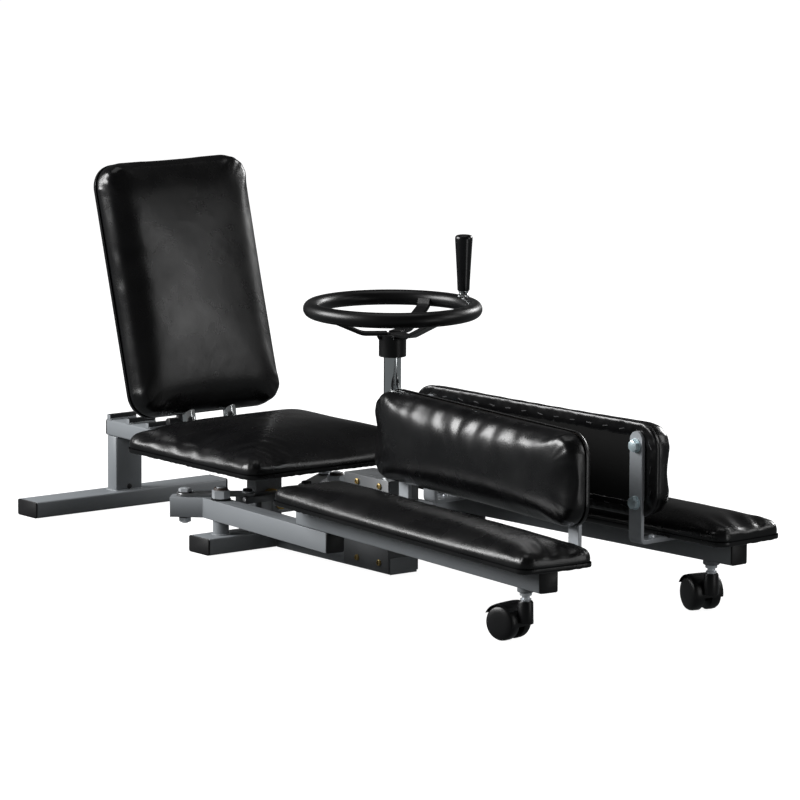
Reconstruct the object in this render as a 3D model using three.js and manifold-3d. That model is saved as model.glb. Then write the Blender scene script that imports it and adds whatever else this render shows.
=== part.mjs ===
// Leg stretching machine: a seat and reclining back on a low steel frame, and two hinged leg
// carriers that a hand wheel drives apart through a bevel pair, a lead screw and two links.
// Millimetres. +X runs from the back rest to the feet, +Y to the sitter's left, +Z up.
// The origin lies on the floor, under the rear face of the rear post, in the middle plane.
import * as THREE from 'three';
import * as BufferGeometryUtils from 'three/addons/utils/BufferGeometryUtils.js';
import Module from 'manifold-3d';

const wasm = await Module();
wasm.setup();

// Clearances and shared shop sizes
const fitGap = 0.3;
const cutOverrun = 2;
const capPlate = 3;
const capPlugDepth = 12;

// Steel tube sections
const frameTubeWidth = 50;
const frameTubeHeight = 25;
const frameTubeWall = 2;
const frameTubeCorner = 3;
const legTubeSize = 30;
const legTubeWall = 2;
const legTubeCorner = 2.5;

// Frame layout
const rearFootLength = 364;
const rearFootSetback = 15;
const frontFootLength = 298;
const beamUnderside = 110;
const beamLength = 388;
const stopSize = 8;
const stopCount = 4;
const firstStop = 5;
const stopPitch = 51;

// Leg pivots on the front foot
const pivotSpread = 108;
const pivotPostRadius = 12;
const pivotPostTop = 46.7;
const pivotStudRadius = 8;
const pivotWasherRadius = 15;
const pivotWasherThickness = 2;
const pivotNutFlats = 24;
const pivotNutHeight = 14;
const pivotStudProud = 3.5;

// Leg carriers
const legSplay = THREE.MathUtils.degToRad(4.37);
const armUnderside = 47;
const armBendBack = 34;
const armTailTurn = THREE.MathUtils.degToRad(50.4);
const armTailLength = 57;
const armTailBolt = 36;
const armReach = 313;
const legTubeStart = 230;

// Leg rest pads
const legPadStart = 230;
const legPadLength = 640;
const legPadWidth = 122;
const legPadCorner = 26;
const legTubeInset = 21.5;
const boardThickness = 12;
const legCushionEdge = 16;
const legCushionCrown = 9;

// Side pads, measured inboard of the leg tube's middle
const sidePadSetback = 11;
const sidePadShortfall = 140;
const sidePadHeight = 135;
const sidePadUnderside = 145;
const sidePadCorner = 35;
const sideBoardOffset = 95;
const sideCushionEdge = 24;
const sideCushionCrown = 9;

// Side pad brackets
const bracketWidth = 25;
const bracketThickness = 6;
const bracketTop = 267;
const bracketFootReach = 15;
const bracketInset = 37.4;

// Casters
const casterSetback = 55.2;
const casterTrail = 30;
const casterYaw = THREE.MathUtils.degToRad(16);
const casterWheelRadius = 25;
const casterWheelWidth = 17;
const casterWebWidth = 11;
const casterHoodGap = 2;
const casterHoodWall = 3;
const casterHoodFrontAngle = THREE.MathUtils.degToRad(-8);
const casterHoodRearAngle = THREE.MathUtils.degToRad(172);
const casterAxleRadius = 4;
const casterStemRadius = 5.5;
const casterCollarRadius = 12;
const casterCollarHeight = 7;
const casterNeckRadius = 9;

// Seat
const seatAheadOfHinge = 10;
const seatLength = 320;
const seatWidth = 336;
const seatCorner = 34;
const seatCushionEdge = 24;
const seatCushionCrown = 12;

// Back rest
const backLean = THREE.MathUtils.degToRad(15.66);
const backFootSetback = 1.9;
const backFootHeight = 183;
const backPadWidth = 260;
const backPadLength = 382;
const backPadThickness = 40;
const backPadCorner = 38;
const backCushionEdge = 21;
const backCushionCrown = 7;
const hingeSetback = 148;
const hingePinRadius = 5;
const hingePinReach = 52;
const hingeHeadRadius = 9;
const hingeHeadThickness = 5;
const uprightSpread = 38;
const uprightRadius = 10;
const uprightBore = 8;
const uprightSetback = 4.1;
const uprightInsert = 120;
const uprightBelowHinge = 14;
const uprightBendDrop = 8;
const uprightStripWidth = 30;
const uprightStripThickness = 3;

// Back strut
const strutPinSetback = 32;
const strutPinHeight = 90;
const strutPinRadius = 4;
const strutEyeRadius = 9;
const strutEyeWidth = 14;
const strutBarRadius = 6;
const strutFootLength = 44;
const strutFootClearance = 2.2;
const strutLugThickness = 3;
const strutLugRadius = 9;
const strutPlateWidth = 44;
const strutPlateHeight = 50;
const strutPlateThickness = 3;

// Gear box
const gearBoxAheadOfSeat = 39;
const gearBoxLength = 106;
const gearBoxTop = 139;
const gearBoxWall = 3;
const gearBoxSideFoot = 3;
const bearingBlockLength = 76;
const bearingBlockHeight = 17;
const bearingBossRadius = 15;
const bearingBossDepth = 10;

// Lead screw and carriage
const screwHeight = 64;
const screwRadius = 8;
const screwJournalRadius = 6;
const screwCollarRadius = 10;
const screwCollarWidth = 6;
const screwShoulderGap = 0.6;
const carriageBoltReach = 19.6;
const carriageBoltSpread = 55;
const carriageWidth = 26;
const carriageBarHeight = 10;
const carriageBarOverhang = 13;
const carriageBlockWidth = 40;
const carriageBlockHeight = 30;
const nutFlangeRadius = 16;
const nutFlangeThickness = 5;
const nutBarrelRadius = 12;

// Links
const linkThickness = 5;
const linkWidth = 25;
const armBoltRadius = 5;
const armBoltHeadFlats = 17;
const armBoltHeadHeight = 6.4;
const armBoltNutHeight = 8;
const carriageBoltFlats = 13;
const carriageBoltHeadHeight = 5.3;

// Bevel pair
const bevelTeeth = 18;
const bevelPitchRadius = 18;
const bevelFaceDepth = 8;
const bevelAddendum = 1.2;
const bevelDedendum = 2;
const bevelHubDepth = 6;
const bevelHubRadius = 12;

// Hand wheel
const wheelSetback = 27.7;
const wheelShaftRadius = 12.7;
const wheelSpindleRadius = 6;
const wheelRimHeight = 387;
const wheelRimRadius = 119.1;
const wheelRimTube = 11.35;
const wheelHubRadius = 20;
const wheelHubFoot = 317.5;
const wheelHubTop = 348;
const wheelHubCrown = 8;
const spokeCount = 3;
const spokeWidth = 20;
const spokeThickness = 5;
const spokeFlatReach = 62;
const spokeAngle = THREE.MathUtils.degToRad(-3.4);

// Grip
const gripAngle = THREE.MathUtils.degToRad(82);
const gripLength = 82;
const gripFootRadius = 9;
const gripHeadRadius = 13;
const gripNeckRadius = 7.5;
const gripNeckHeight = 7;
const gripSpindleRadius = 4;
const gripSpindleDepth = 14;
const gripEdge = 3;

// Counts of facets on round forms
const finePins = 16;
const roundBars = 20;
const rimSteps = 40;
const rimSides = 10;

// Sizes that follow from the ones above
const footTop = frameTubeHeight;
const beamTop = beamUnderside + frameTubeHeight;
const frontPostRear = beamLength - frameTubeHeight;
const frontFootFront = beamLength + frameTubeWidth;
const hingePlace = beamLength - hingeSetback;
const seatRear = hingePlace + seatAheadOfHinge;
const pivotPlace = beamLength + frameTubeWidth / 2;
const gearBoxStart = seatRear + seatLength + gearBoxAheadOfSeat;
const lowerBeamEnd = gearBoxStart + gearBoxLength;
const wheelPlace = lowerBeamEnd - wheelSetback;
const carriageBoltPlace = beamLength + carriageBoltReach;
const armTop = armUnderside + legTubeSize;
const legTubeTop = armTop + legTubeSize;
const legBoardFoot = legTubeTop + bracketThickness;
const legTubeEnd = legPadStart + legPadLength - legTubeInset;
const casterStem = legTubeEnd - casterSetback;
const sidePadLength = legPadLength - sidePadShortfall;
const sidePadStart = lowerBeamEnd - pivotPlace - sidePadSetback;
const seatBoardFoot = beamTop;
const stopTop = beamTop + stopSize;

// Finishes
const greyCoat = new THREE.MeshStandardMaterial({ color: 0x7f8488, roughness: 0.5, metalness: 0.3 });
const darkCoat = new THREE.MeshStandardMaterial({ color: 0x26282a, roughness: 0.5, metalness: 0.3 });
const blackPlastic = new THREE.MeshStandardMaterial({ color: 0x111213, roughness: 0.45, metalness: 0 });
const blackVinyl = new THREE.MeshStandardMaterial({ color: 0x0c0c0d, roughness: 0.35, metalness: 0 });
const plywood = new THREE.MeshStandardMaterial({ color: 0x1a1917, roughness: 0.8, metalness: 0 });
const chrome = new THREE.MeshStandardMaterial({ color: 0xc9ccce, roughness: 0.12, metalness: 1 });
const zincSteel = new THREE.MeshStandardMaterial({ color: 0xb4b8bb, roughness: 0.3, metalness: 1 });
const flatSteel = new THREE.MeshStandardMaterial({ color: 0x8b8f92, roughness: 0.4, metalness: 0.8 });
const brass = new THREE.MeshStandardMaterial({ color: 0xa9824a, roughness: 0.35, metalness: 1 });

// Axis triads that lay a piece along the machine, across it or upright
const unitX = new THREE.Vector3(1, 0, 0);
const unitY = new THREE.Vector3(0, 1, 0);
const unitZ = new THREE.Vector3(0, 0, 1);
const alongX = new THREE.Matrix4().makeBasis(unitY, unitZ, unitX);
const alongY = new THREE.Matrix4().makeBasis(unitX.clone().negate(), unitZ, unitY);
const upright = new THREE.Matrix4().makeBasis(unitY, unitX.clone().negate(), unitZ);

const machine = new THREE.Group();

// Adds a named piece to a group at a place, turned by an axis triad.
function place(parent, name, geometry, material, [x, y, z] = [0, 0, 0], turn = null) {
  const mesh = new THREE.Mesh(geometry, material.clone());
  mesh.name = name;
  mesh.position.set(x, y, z);
  if (turn) mesh.quaternion.setFromRotationMatrix(turn);
  parent.add(mesh);
  return mesh;
}

// Turns a closed geometry into a solid for joining and cutting.
function solid(geometry) {
  const bare = geometry.index ? geometry.toNonIndexed() : geometry.clone();
  bare.deleteAttribute('normal');
  bare.deleteAttribute('uv');
  const merged = BufferGeometryUtils.mergeVertices(bare);
  const vertProperties = new Float32Array(merged.attributes.position.array);
  const triVerts = new Uint32Array(merged.index.array);
  return new wasm.Manifold(new wasm.Mesh({ numProp: 3, vertProperties, triVerts }));
}

// Turns a solid back into a geometry.
function surface(body) {
  const mesh = body.getMesh();
  const geometry = new THREE.BufferGeometry();
  geometry.setAttribute('position', new THREE.BufferAttribute(mesh.vertProperties, 3));
  geometry.setIndex(new THREE.BufferAttribute(mesh.triVerts, 1));
  geometry.computeVertexNormals();
  return geometry;
}

// Joins geometries that overlap, then takes others away.
function build(joined, removed = []) {
  let body = solid(joined[0]);
  for (const geometry of joined.slice(1)) body = body.add(solid(geometry));
  for (const geometry of removed) body = body.subtract(solid(geometry));
  return surface(body);
}

function roundedRectangle(width, height, radius) {
  const shape = new THREE.Shape();
  const x = width / 2 - radius;
  const y = height / 2 - radius;
  shape.absarc(x, y, radius, 0, Math.PI / 2);
  shape.absarc(-x, y, radius, Math.PI / 2, Math.PI);
  shape.absarc(-x, -y, radius, Math.PI, Math.PI * 1.5);
  shape.absarc(x, -y, radius, Math.PI * 1.5, Math.PI * 2);
  shape.closePath();
  return shape;
}

function rectangle(x0, x1, y0, y1) {
  return new THREE.Shape([
    new THREE.Vector2(x0, y0),
    new THREE.Vector2(x1, y0),
    new THREE.Vector2(x1, y1),
    new THREE.Vector2(x0, y1),
  ]);
}

function prism(shape, depth, curveSegments = 2) {
  return new THREE.ExtrudeGeometry(shape, { depth, bevelEnabled: false, curveSegments });
}

// A block between two corners.
function block([x0, y0, z0], [x1, y1, z1]) {
  return new THREE.BoxGeometry(x1 - x0, y1 - y0, z1 - z0).translate((x0 + x1) / 2, (y0 + y1) / 2, (z0 + z1) / 2);
}

// A round bar from a profile of [radius, height] pairs, turned about +Z.
function turned(profile, segments = roundBars) {
  return new THREE.LatheGeometry(profile.map(([r, z]) => new THREE.Vector2(r, z)), segments).rotateX(Math.PI / 2);
}

function rod(radius, z0, z1, segments = roundBars) {
  return turned([[0, z0], [radius, z0], [radius, z1], [0, z1]], segments);
}

// A hexagon bar across flats, standing on +Z.
function hexagon(flats, z0, z1) {
  return rod(flats / 2 / Math.cos(Math.PI / 6), z0, z1, 6);
}

// A rectangular tube standing on the origin, open at both ends.
function tube(width, height, wall, corner, length) {
  const section = roundedRectangle(width, height, corner);
  section.holes.push(rectangle(wall - width / 2, width / 2 - wall, wall - height / 2, height / 2 - wall));
  return prism(section, length, 1);
}

// A plastic end cap: a plate on the tube's end, above the origin, with a plug down into the tube.
function endCap(width, height, wall, corner) {
  const plate = prism(roundedRectangle(width, height, corner), capPlate, 1);
  const plugX = width / 2 - wall - fitGap;
  const plugY = height / 2 - wall - fitGap;
  const plug = block([-plugX, -plugY, -capPlugDepth], [plugX, plugY, capPlate / 2]);
  return build([plate, plug]);
}

// Outline of an upholstered pad, centred, with sides that draw in between the corners.
const padCornerSteps = 4;
const padSideSteps = 6;
function padOutline(length, width, corner, drawIn, inset) {
  const points = [];
  const halfLength = length / 2 - corner;
  const halfWidth = width / 2 - corner;
  const centres = [[halfLength, halfWidth], [-halfLength, halfWidth], [-halfLength, -halfWidth], [halfLength, -halfWidth]];
  for (let side = 0; side < centres.length; side += 1) {
    const [cx, cy] = centres[side];
    const [nx, ny] = centres[(side + 1) % centres.length];
    for (let step = 0; step <= padCornerSteps; step += 1) {
      const angle = Math.PI / 2 * (side + step / padCornerSteps);
      const radius = corner - inset;
      points.push(new THREE.Vector2(cx + radius * Math.cos(angle), cy + radius * Math.sin(angle)));
    }
    const outward = Math.PI / 2 * (side + 1);
    for (let step = 1; step < padSideSteps; step += 1) {
      const along = step / padSideSteps;
      const radius = corner - inset - drawIn * Math.sin(Math.PI * along);
      const x = THREE.MathUtils.lerp(cx, nx, along) + radius * Math.cos(outward);
      const y = THREE.MathUtils.lerp(cy, ny, along) + radius * Math.sin(outward);
      points.push(new THREE.Vector2(x, y));
    }
  }
  return points;
}

// An upholstered cushion: flat underneath, round shoulders and a crowned top.
// Side rings are [inset share of the edge height, height share]; crown rings are shares of the plan.
const padSideShares = [[0.16, 0], [0.02, 0.22], [0, 0.5], [0.1, 0.8], [0.36, 1]];
const padCrownShares = [0.86, 0.68, 0.46, 0.24];
function cushion(length, width, corner, edge, crown, drawIn) {
  const rings = padSideShares.map(([inset, height]) =>
    padOutline(length, width, corner, drawIn, inset * edge).map((p) => [p.x, p.y, height * edge]));
  const shoulder = rings[rings.length - 1];
  for (const share of padCrownShares) {
    const rise = crown * (1 - share ** 3);
    rings.push(shoulder.map(([x, y, z]) => [x * share, y * share, z + rise]));
  }
  const count = shoulder.length;
  const positions = rings.flat(2);
  positions.push(0, 0, 0);
  positions.push(0, 0, edge + crown);
  const floorCentre = rings.length * count;
  const topCentre = floorCentre + 1;
  const index = [];
  for (let i = 0; i < count; i += 1) {
    const next = (i + 1) % count;
    index.push(floorCentre, next, i);
    for (let ring = 0; ring + 1 < rings.length; ring += 1) {
      const low = ring * count;
      const high = low + count;
      index.push(low + i, low + next, high + next);
      index.push(low + i, high + next, high + i);
    }
    const last = (rings.length - 1) * count;
    index.push(last + i, last + next, topCentre);
  }
  const geometry = new THREE.BufferGeometry();
  geometry.setAttribute('position', new THREE.Float32BufferAttribute(positions, 3));
  geometry.setIndex(index);
  geometry.computeVertexNormals();
  return geometry;
}

// A wooden pad board, centred, standing on +Z.
const boardInset = 4;
function board(length, width, corner) {
  return prism(roundedRectangle(length - 2 * boardInset, width - 2 * boardInset, corner - boardInset), boardThickness);
}

// The strip of a given half width that follows a bent centre line in the plan.
function mitredStrip(line, half) {
  const left = [];
  const right = [];
  for (let i = 0; i < line.length; i += 1) {
    const before = i > 0 ? line[i].clone().sub(line[i - 1]).normalize() : null;
    const after = i + 1 < line.length ? line[i + 1].clone().sub(line[i]).normalize() : null;
    const first = before ?? after;
    const second = after ?? before;
    const across = new THREE.Vector2(-first.y - second.y, first.x + second.x).normalize();
    const stretch = half / across.dot(new THREE.Vector2(-first.y, first.x));
    left.push(line[i].clone().addScaledVector(across, stretch));
    right.unshift(line[i].clone().addScaledVector(across, -stretch));
  }
  return new THREE.Shape([...left, ...right]);
}

// Rear foot: a tube across the floor with a black cap in each end.
const rearFootMiddle = frameTubeWidth / 2 - rearFootSetback;
const rearFootTubeLength = rearFootLength - 2 * capPlate;
function crossFoot(name, length, middle) {
  const section = [frameTubeWidth, frameTubeHeight, frameTubeWall, frameTubeCorner];
  const half = length / 2;
  place(machine, `${name}_tube`, tube(...section, length), greyCoat, [middle, -half, footTop / 2], alongY);
  place(machine, `${name}_cap_left`, endCap(...section), blackPlastic, [middle, half, footTop / 2], alongY);
  const flipped = new THREE.Matrix4().makeBasis(unitX, unitZ, unitY.clone().negate());
  place(machine, `${name}_cap_right`, endCap(...section), blackPlastic, [middle, -half, footTop / 2], flipped);
}
crossFoot('rear_foot', rearFootTubeLength, rearFootMiddle);

// Front foot: a shorter tube across, welded to the front of the front post.
crossFoot('front_foot', frontFootLength - 2 * capPlate, pivotPlace);

// Posts: short tubes, welded upright, that carry the main beam.
const postSection = [frameTubeWidth, frameTubeHeight, frameTubeWall, frameTubeCorner];
const rearPost = tube(...postSection, beamUnderside - footTop);
place(machine, 'rear_post', rearPost, greyCoat, [frameTubeHeight / 2, 0, footTop], upright);

// The front post is drilled for the lead screw's journal.
const journalHole = rod(screwJournalRadius + fitGap, -frameTubeHeight, frameTubeHeight, finePins);
journalHole.rotateX(Math.PI / 2).translate(0, 0, screwHeight);
const frontPost = build([tube(...postSection, beamUnderside)], [journalHole]);
place(machine, 'front_post', frontPost, greyCoat, [frontPostRear + frameTubeHeight / 2, 0, 0], upright);

// Main beam: the tube under the seat, drilled for the back rest's hinge pin, with square stops
// welded across its top for the strut of the back rest.
const beamStops = [];
const weldSink = frameTubeWall / 4;
for (let i = 0; i < stopCount; i += 1) {
  const x = firstStop + i * stopPitch;
  const low = [-frameTubeWidth / 2, frameTubeHeight / 2 - weldSink, x - stopSize / 2];
  const high = [frameTubeWidth / 2, frameTubeHeight / 2 + stopSize, x + stopSize / 2];
  beamStops.push(block(low, high));
}
const beamPinHole = rod(hingePinRadius + fitGap, -frameTubeWidth, frameTubeWidth, finePins);
beamPinHole.rotateY(Math.PI / 2).translate(0, 0, hingePlace);
const mainBeam = build([tube(...postSection, beamLength), ...beamStops], [beamPinHole]);
place(machine, 'main_beam', mainBeam, greyCoat, [0, 0, beamUnderside + frameTubeHeight / 2], alongX);
const facingRear = new THREE.Matrix4().makeBasis(unitY, unitZ.clone().negate(), unitX.clone().negate());
const beamCapPlace = [0, 0, beamUnderside + frameTubeHeight / 2];
place(machine, 'main_beam_cap', endCap(...postSection), blackPlastic, beamCapPlace, facingRear);

// Lower beam: the tube on the floor that carries the gear box.
const lowerBeam = tube(...postSection, lowerBeamEnd - frontFootFront);
place(machine, 'lower_beam', lowerBeam, greyCoat, [frontFootFront, 0, frameTubeHeight / 2], alongX);

// Gear box cover: folded rear wall, top and front wall, with a bearing block under its top and a
// bearing boss on its rear wall.
const gearBoxHalf = frameTubeWidth / 2;
const bearingStart = lowerBeamEnd - gearBoxWall - bearingBlockLength;
const bearingFoot = gearBoxTop - gearBoxWall - bearingBlockHeight;
const coverWalls = [
  block([gearBoxStart, -gearBoxHalf, footTop], [gearBoxStart + gearBoxWall, gearBoxHalf, gearBoxTop]),
  block([lowerBeamEnd - gearBoxWall, -gearBoxHalf, footTop], [lowerBeamEnd, gearBoxHalf, gearBoxTop]),
  block([gearBoxStart, -gearBoxHalf, gearBoxTop - gearBoxWall], [lowerBeamEnd, gearBoxHalf, gearBoxTop]),
  block([bearingStart, -gearBoxHalf, bearingFoot], [lowerBeamEnd, gearBoxHalf, gearBoxTop]),
];
const screwBoss = rod(bearingBossRadius, gearBoxStart, gearBoxStart + gearBoxWall + bearingBossDepth);
screwBoss.rotateY(Math.PI / 2).translate(0, 0, screwHeight);
const screwBore = rod(screwJournalRadius + fitGap, gearBoxStart - cutOverrun, bearingStart, finePins);
screwBore.rotateY(Math.PI / 2).translate(0, 0, screwHeight);
const shaftBore = rod(wheelShaftRadius + fitGap, bearingFoot - cutOverrun, gearBoxTop + cutOverrun);
shaftBore.translate(wheelPlace, 0, 0);
place(machine, 'gear_box_cover', build([...coverWalls, screwBoss], [screwBore, shaftBore]), greyCoat);

// Gear box sides: plates screwed to the lower beam and to the bearing block.
for (const [name, side] of [['left', 1], ['right', -1]]) {
  const inner = side * gearBoxHalf;
  const outer = side * (gearBoxHalf + gearBoxWall);
  const low = [gearBoxStart, Math.min(inner, outer), gearBoxSideFoot];
  const high = [lowerBeamEnd, Math.max(inner, outer), gearBoxTop];
  place(machine, `gear_box_side_${name}`, block(low, high), greyCoat);
}

// Leg pivots: a turned post on the front foot, its stud through the arm, and the washer and lock
// nut that hold the arm down.
const washerFoot = armTop + fitGap;
const nutFoot = washerFoot + pivotWasherThickness;
const nutTop = nutFoot + pivotNutHeight;
for (const [name, side] of [['left', 1], ['right', -1]]) {
  const pivot = build([
    turned([
      [0, footTop],
      [pivotPostRadius, footTop],
      [pivotPostRadius, pivotPostTop],
      [pivotStudRadius, pivotPostTop],
      [pivotStudRadius, washerFoot],
      [pivotWasherRadius, washerFoot],
      [pivotWasherRadius, nutFoot],
      [pivotStudRadius, nutFoot],
      [pivotStudRadius, nutTop + pivotStudProud],
      [0, nutTop + pivotStudProud],
    ]),
    hexagon(pivotNutFlats, nutFoot - pivotWasherThickness / 2, nutTop),
  ]);
  place(machine, `pivot_stud_${name}`, pivot, zincSteel, [pivotPlace, side * pivotSpread, 0]);
}

// Seat: a board on the main beam and its vinyl cushion.
const seatMiddle = seatRear + seatLength / 2;
const seatDrawIn = seatCushionEdge / 8;
place(machine, 'seat_board', board(seatLength, seatWidth, seatCorner), plywood, [seatMiddle, 0, seatBoardFoot]);
const seatCushion = cushion(seatLength, seatWidth, seatCorner, seatCushionEdge, seatCushionCrown, seatDrawIn);
place(machine, 'seat_cushion', seatCushion, blackVinyl, [seatMiddle, 0, seatBoardFoot + boardThickness + fitGap]);

// Lead screw: journals at both ends, a collar behind the front post, and the thread between.
const screwThreadStart = beamLength + screwShoulderGap;
const screwThreadEnd = gearBoxStart - screwShoulderGap;
const gearBack = wheelPlace - bevelPitchRadius;
const screwTip = gearBack + bevelFaceDepth / 2;
const collarFront = frontPostRear - screwShoulderGap;
const leadScrew = turned([
  [0, collarFront - screwCollarWidth],
  [screwCollarRadius, collarFront - screwCollarWidth],
  [screwCollarRadius, collarFront],
  [screwJournalRadius, collarFront],
  [screwJournalRadius, screwThreadStart],
  [screwRadius, screwThreadStart],
  [screwRadius, screwThreadEnd],
  [screwJournalRadius, screwThreadEnd],
  [screwJournalRadius, screwTip],
  [0, screwTip],
]);
const turnedAlongX = new THREE.Matrix4().makeBasis(unitZ.clone().negate(), unitY, unitX);
place(machine, 'lead_screw', leadScrew, zincSteel, [0, 0, screwHeight], turnedAlongX);

// Bevel gear: straight teeth that shrink towards the point where the two axes meet. It stands with
// its back on the origin and its teeth up, and starts on a tooth or on a gap.
const toothShares = [[0.24, 0], [0.38, 1], [0.62, 1], [0.76, 0]];
function bevelWheel(boreRadius, startShare) {
  const backOutline = [];
  for (let tooth = 0; tooth < bevelTeeth; tooth += 1) {
    for (const [turnShare, heightShare] of toothShares) {
      const angle = 2 * Math.PI * (tooth + turnShare + startShare) / bevelTeeth;
      const root = bevelPitchRadius - bevelDedendum;
      const radius = root + heightShare * (bevelAddendum + bevelDedendum);
      backOutline.push(new THREE.Vector2(radius * Math.cos(angle), radius * Math.sin(angle)));
    }
  }
  backOutline.sort((a, b) => Math.atan2(a.y, a.x) - Math.atan2(b.y, b.x));
  const frontShare = (bevelPitchRadius - bevelFaceDepth) / bevelPitchRadius;
  const count = backOutline.length;
  const positions = backOutline.flatMap((p) => [p.x, p.y, 0]);
  positions.push(...backOutline.flatMap((p) => [p.x * frontShare, p.y * frontShare, bevelFaceDepth]));
  const index = [];
  for (const [a, b, c] of THREE.ShapeUtils.triangulateShape(backOutline, [])) {
    index.push(c, b, a);
    index.push(a + count, b + count, c + count);
  }
  for (let i = 0; i < count; i += 1) {
    const next = (i + 1) % count;
    index.push(i, next, next + count);
    index.push(i, next + count, i + count);
  }
  const crown = new THREE.BufferGeometry();
  crown.setAttribute('position', new THREE.Float32BufferAttribute(positions, 3));
  crown.setIndex(index);
  const hub = rod(bevelHubRadius, -bevelHubDepth, bevelFaceDepth / 4);
  const bore = rod(boreRadius, -bevelHubDepth - cutOverrun, bevelFaceDepth + cutOverrun, finePins);
  return build([crown, hub], [bore]);
}
const screwGear = bevelWheel(screwJournalRadius + fitGap, 0);
place(machine, 'bevel_gear', screwGear, flatSteel, [gearBack, 0, screwHeight], turnedAlongX);

// Carriage: a bar with a bored block in its middle, which the screw nut pushes along.
const carriageRear = carriageBoltPlace - carriageWidth / 2;
const carriageFront = carriageRear + carriageWidth;
const carriageHalf = carriageBoltSpread + carriageBarOverhang;
const carriageBar = block([carriageRear, -carriageHalf, armTop - carriageBarHeight], [carriageFront, carriageHalf, armTop]);
const carriageBlock = block(
  [carriageRear, -carriageBlockWidth / 2, armTop - carriageBlockHeight],
  [carriageFront, carriageBlockWidth / 2, armTop],
);
const nutBore = rod(nutBarrelRadius + fitGap, carriageRear - cutOverrun, carriageFront + cutOverrun);
nutBore.rotateY(Math.PI / 2).translate(0, 0, screwHeight);
place(machine, 'carriage', build([carriageBar, carriageBlock], [nutBore]), flatSteel);

// Screw nut: a flanged brass nut in the carriage block.
const screwNut = turned([
  [screwRadius + fitGap, carriageRear - nutFlangeThickness],
  [nutFlangeRadius, carriageRear - nutFlangeThickness],
  [nutFlangeRadius, carriageRear],
  [nutBarrelRadius, carriageRear],
  [nutBarrelRadius, carriageFront],
  [screwRadius + fitGap, carriageFront],
  [screwRadius + fitGap, carriageRear - nutFlangeThickness],
]);
place(machine, 'screw_nut', screwNut, brass, [0, 0, screwHeight], turnedAlongX);

// Wheel shaft: the chromed post in the bearing block, with a thinner spindle for the pinion.
const pinionBack = screwHeight + bevelPitchRadius;
const shaftTop = wheelHubTop - wheelHubCrown;
const wheelShaft = turned([
  [0, pinionBack - bevelFaceDepth / 2],
  [wheelSpindleRadius, pinionBack - bevelFaceDepth / 2],
  [wheelSpindleRadius, bearingFoot - fitGap],
  [wheelShaftRadius, bearingFoot - fitGap],
  [wheelShaftRadius, shaftTop],
  [0, shaftTop],
]);
place(machine, 'wheel_shaft', wheelShaft, chrome, [wheelPlace, 0, 0]);

// Bevel pinion: under the shaft, teeth down, half a tooth out of step with the screw's gear.
const facingDown = new THREE.Matrix4().makeBasis(unitX, unitY.clone().negate(), unitZ.clone().negate());
const pinion = bevelWheel(wheelSpindleRadius + fitGap, 1 / 2);
place(machine, 'bevel_pinion', pinion, flatSteel, [wheelPlace, 0, pinionBack], facingDown);

// Hand wheel rim: a round ring, drilled for the grip's spindle.
const rim = new THREE.TorusGeometry(wheelRimRadius, wheelRimTube, rimSides, rimSteps);
const gripX = wheelRimRadius * Math.cos(gripAngle);
const gripY = wheelRimRadius * Math.sin(gripAngle);
const gripHole = rod(gripSpindleRadius + fitGap, -gripSpindleDepth, cutOverrun, finePins);
gripHole.translate(gripX, gripY, wheelRimTube);
place(machine, 'handwheel_rim', build([rim], [gripHole]), blackPlastic, [wheelPlace, 0, wheelRimHeight]);

// Hand wheel spider: hub and three dished flat spokes that end against the rim.
const hubBore = rod(wheelShaftRadius + fitGap, wheelHubFoot - cutOverrun, shaftTop + fitGap);
const spokeLine = [
  new THREE.Vector2(0, wheelHubTop),
  new THREE.Vector2(spokeFlatReach, wheelHubTop),
  new THREE.Vector2(wheelRimRadius, wheelRimHeight),
];
const spokes = [];
for (let i = 0; i < spokeCount; i += 1) {
  const spoke = prism(mitredStrip(spokeLine, spokeThickness / 2), spokeWidth);
  spoke.translate(0, 0, -spokeWidth / 2).rotateX(Math.PI / 2);
  spokes.push(spoke.rotateZ(spokeAngle + i * 2 * Math.PI / spokeCount));
}
const rimClearance = new THREE.TorusGeometry(wheelRimRadius, wheelRimTube + fitGap, rimSides, rimSteps);
rimClearance.translate(0, 0, wheelRimHeight);
const hub = rod(wheelHubRadius, wheelHubFoot, wheelHubTop);
const spider = build([hub, ...spokes], [hubBore, rimClearance]);
place(machine, 'handwheel_spider', spider, blackPlastic, [wheelPlace, 0, 0]);

// Grip spindle: a chromed neck on the rim, with a pin down into the rim and up into the grip.
const neckFoot = wheelRimHeight + wheelRimTube;
const neckTop = neckFoot + gripNeckHeight;
const gripPin = gripLength - gripEdge * 2;
const gripSpindle = turned([
  [0, neckFoot - gripSpindleDepth + fitGap],
  [gripSpindleRadius, neckFoot - gripSpindleDepth + fitGap],
  [gripSpindleRadius, neckFoot + fitGap],
  [gripNeckRadius, neckFoot + fitGap],
  [gripNeckRadius, neckTop],
  [gripSpindleRadius, neckTop],
  [gripSpindleRadius, neckTop + gripPin],
  [0, neckTop + gripPin],
], finePins);
place(machine, 'grip_spindle', gripSpindle, chrome, [wheelPlace + gripX, gripY, 0]);

// Grip: a tapered handle that spins on the spindle.
const gripFoot = neckTop + fitGap;
const gripTop = gripFoot + gripLength;
const grip = turned([
  [gripSpindleRadius + fitGap, gripFoot],
  [gripFootRadius, gripFoot],
  [gripHeadRadius, gripTop - gripEdge],
  [gripHeadRadius - gripEdge, gripTop],
  [0, gripTop],
  [0, neckTop + gripPin + fitGap],
  [gripSpindleRadius + fitGap, neckTop + gripPin + fitGap],
  [gripSpindleRadius + fitGap, gripFoot],
]);
place(machine, 'grip', grip, blackPlastic, [wheelPlace + gripX, gripY, 0]);

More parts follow.
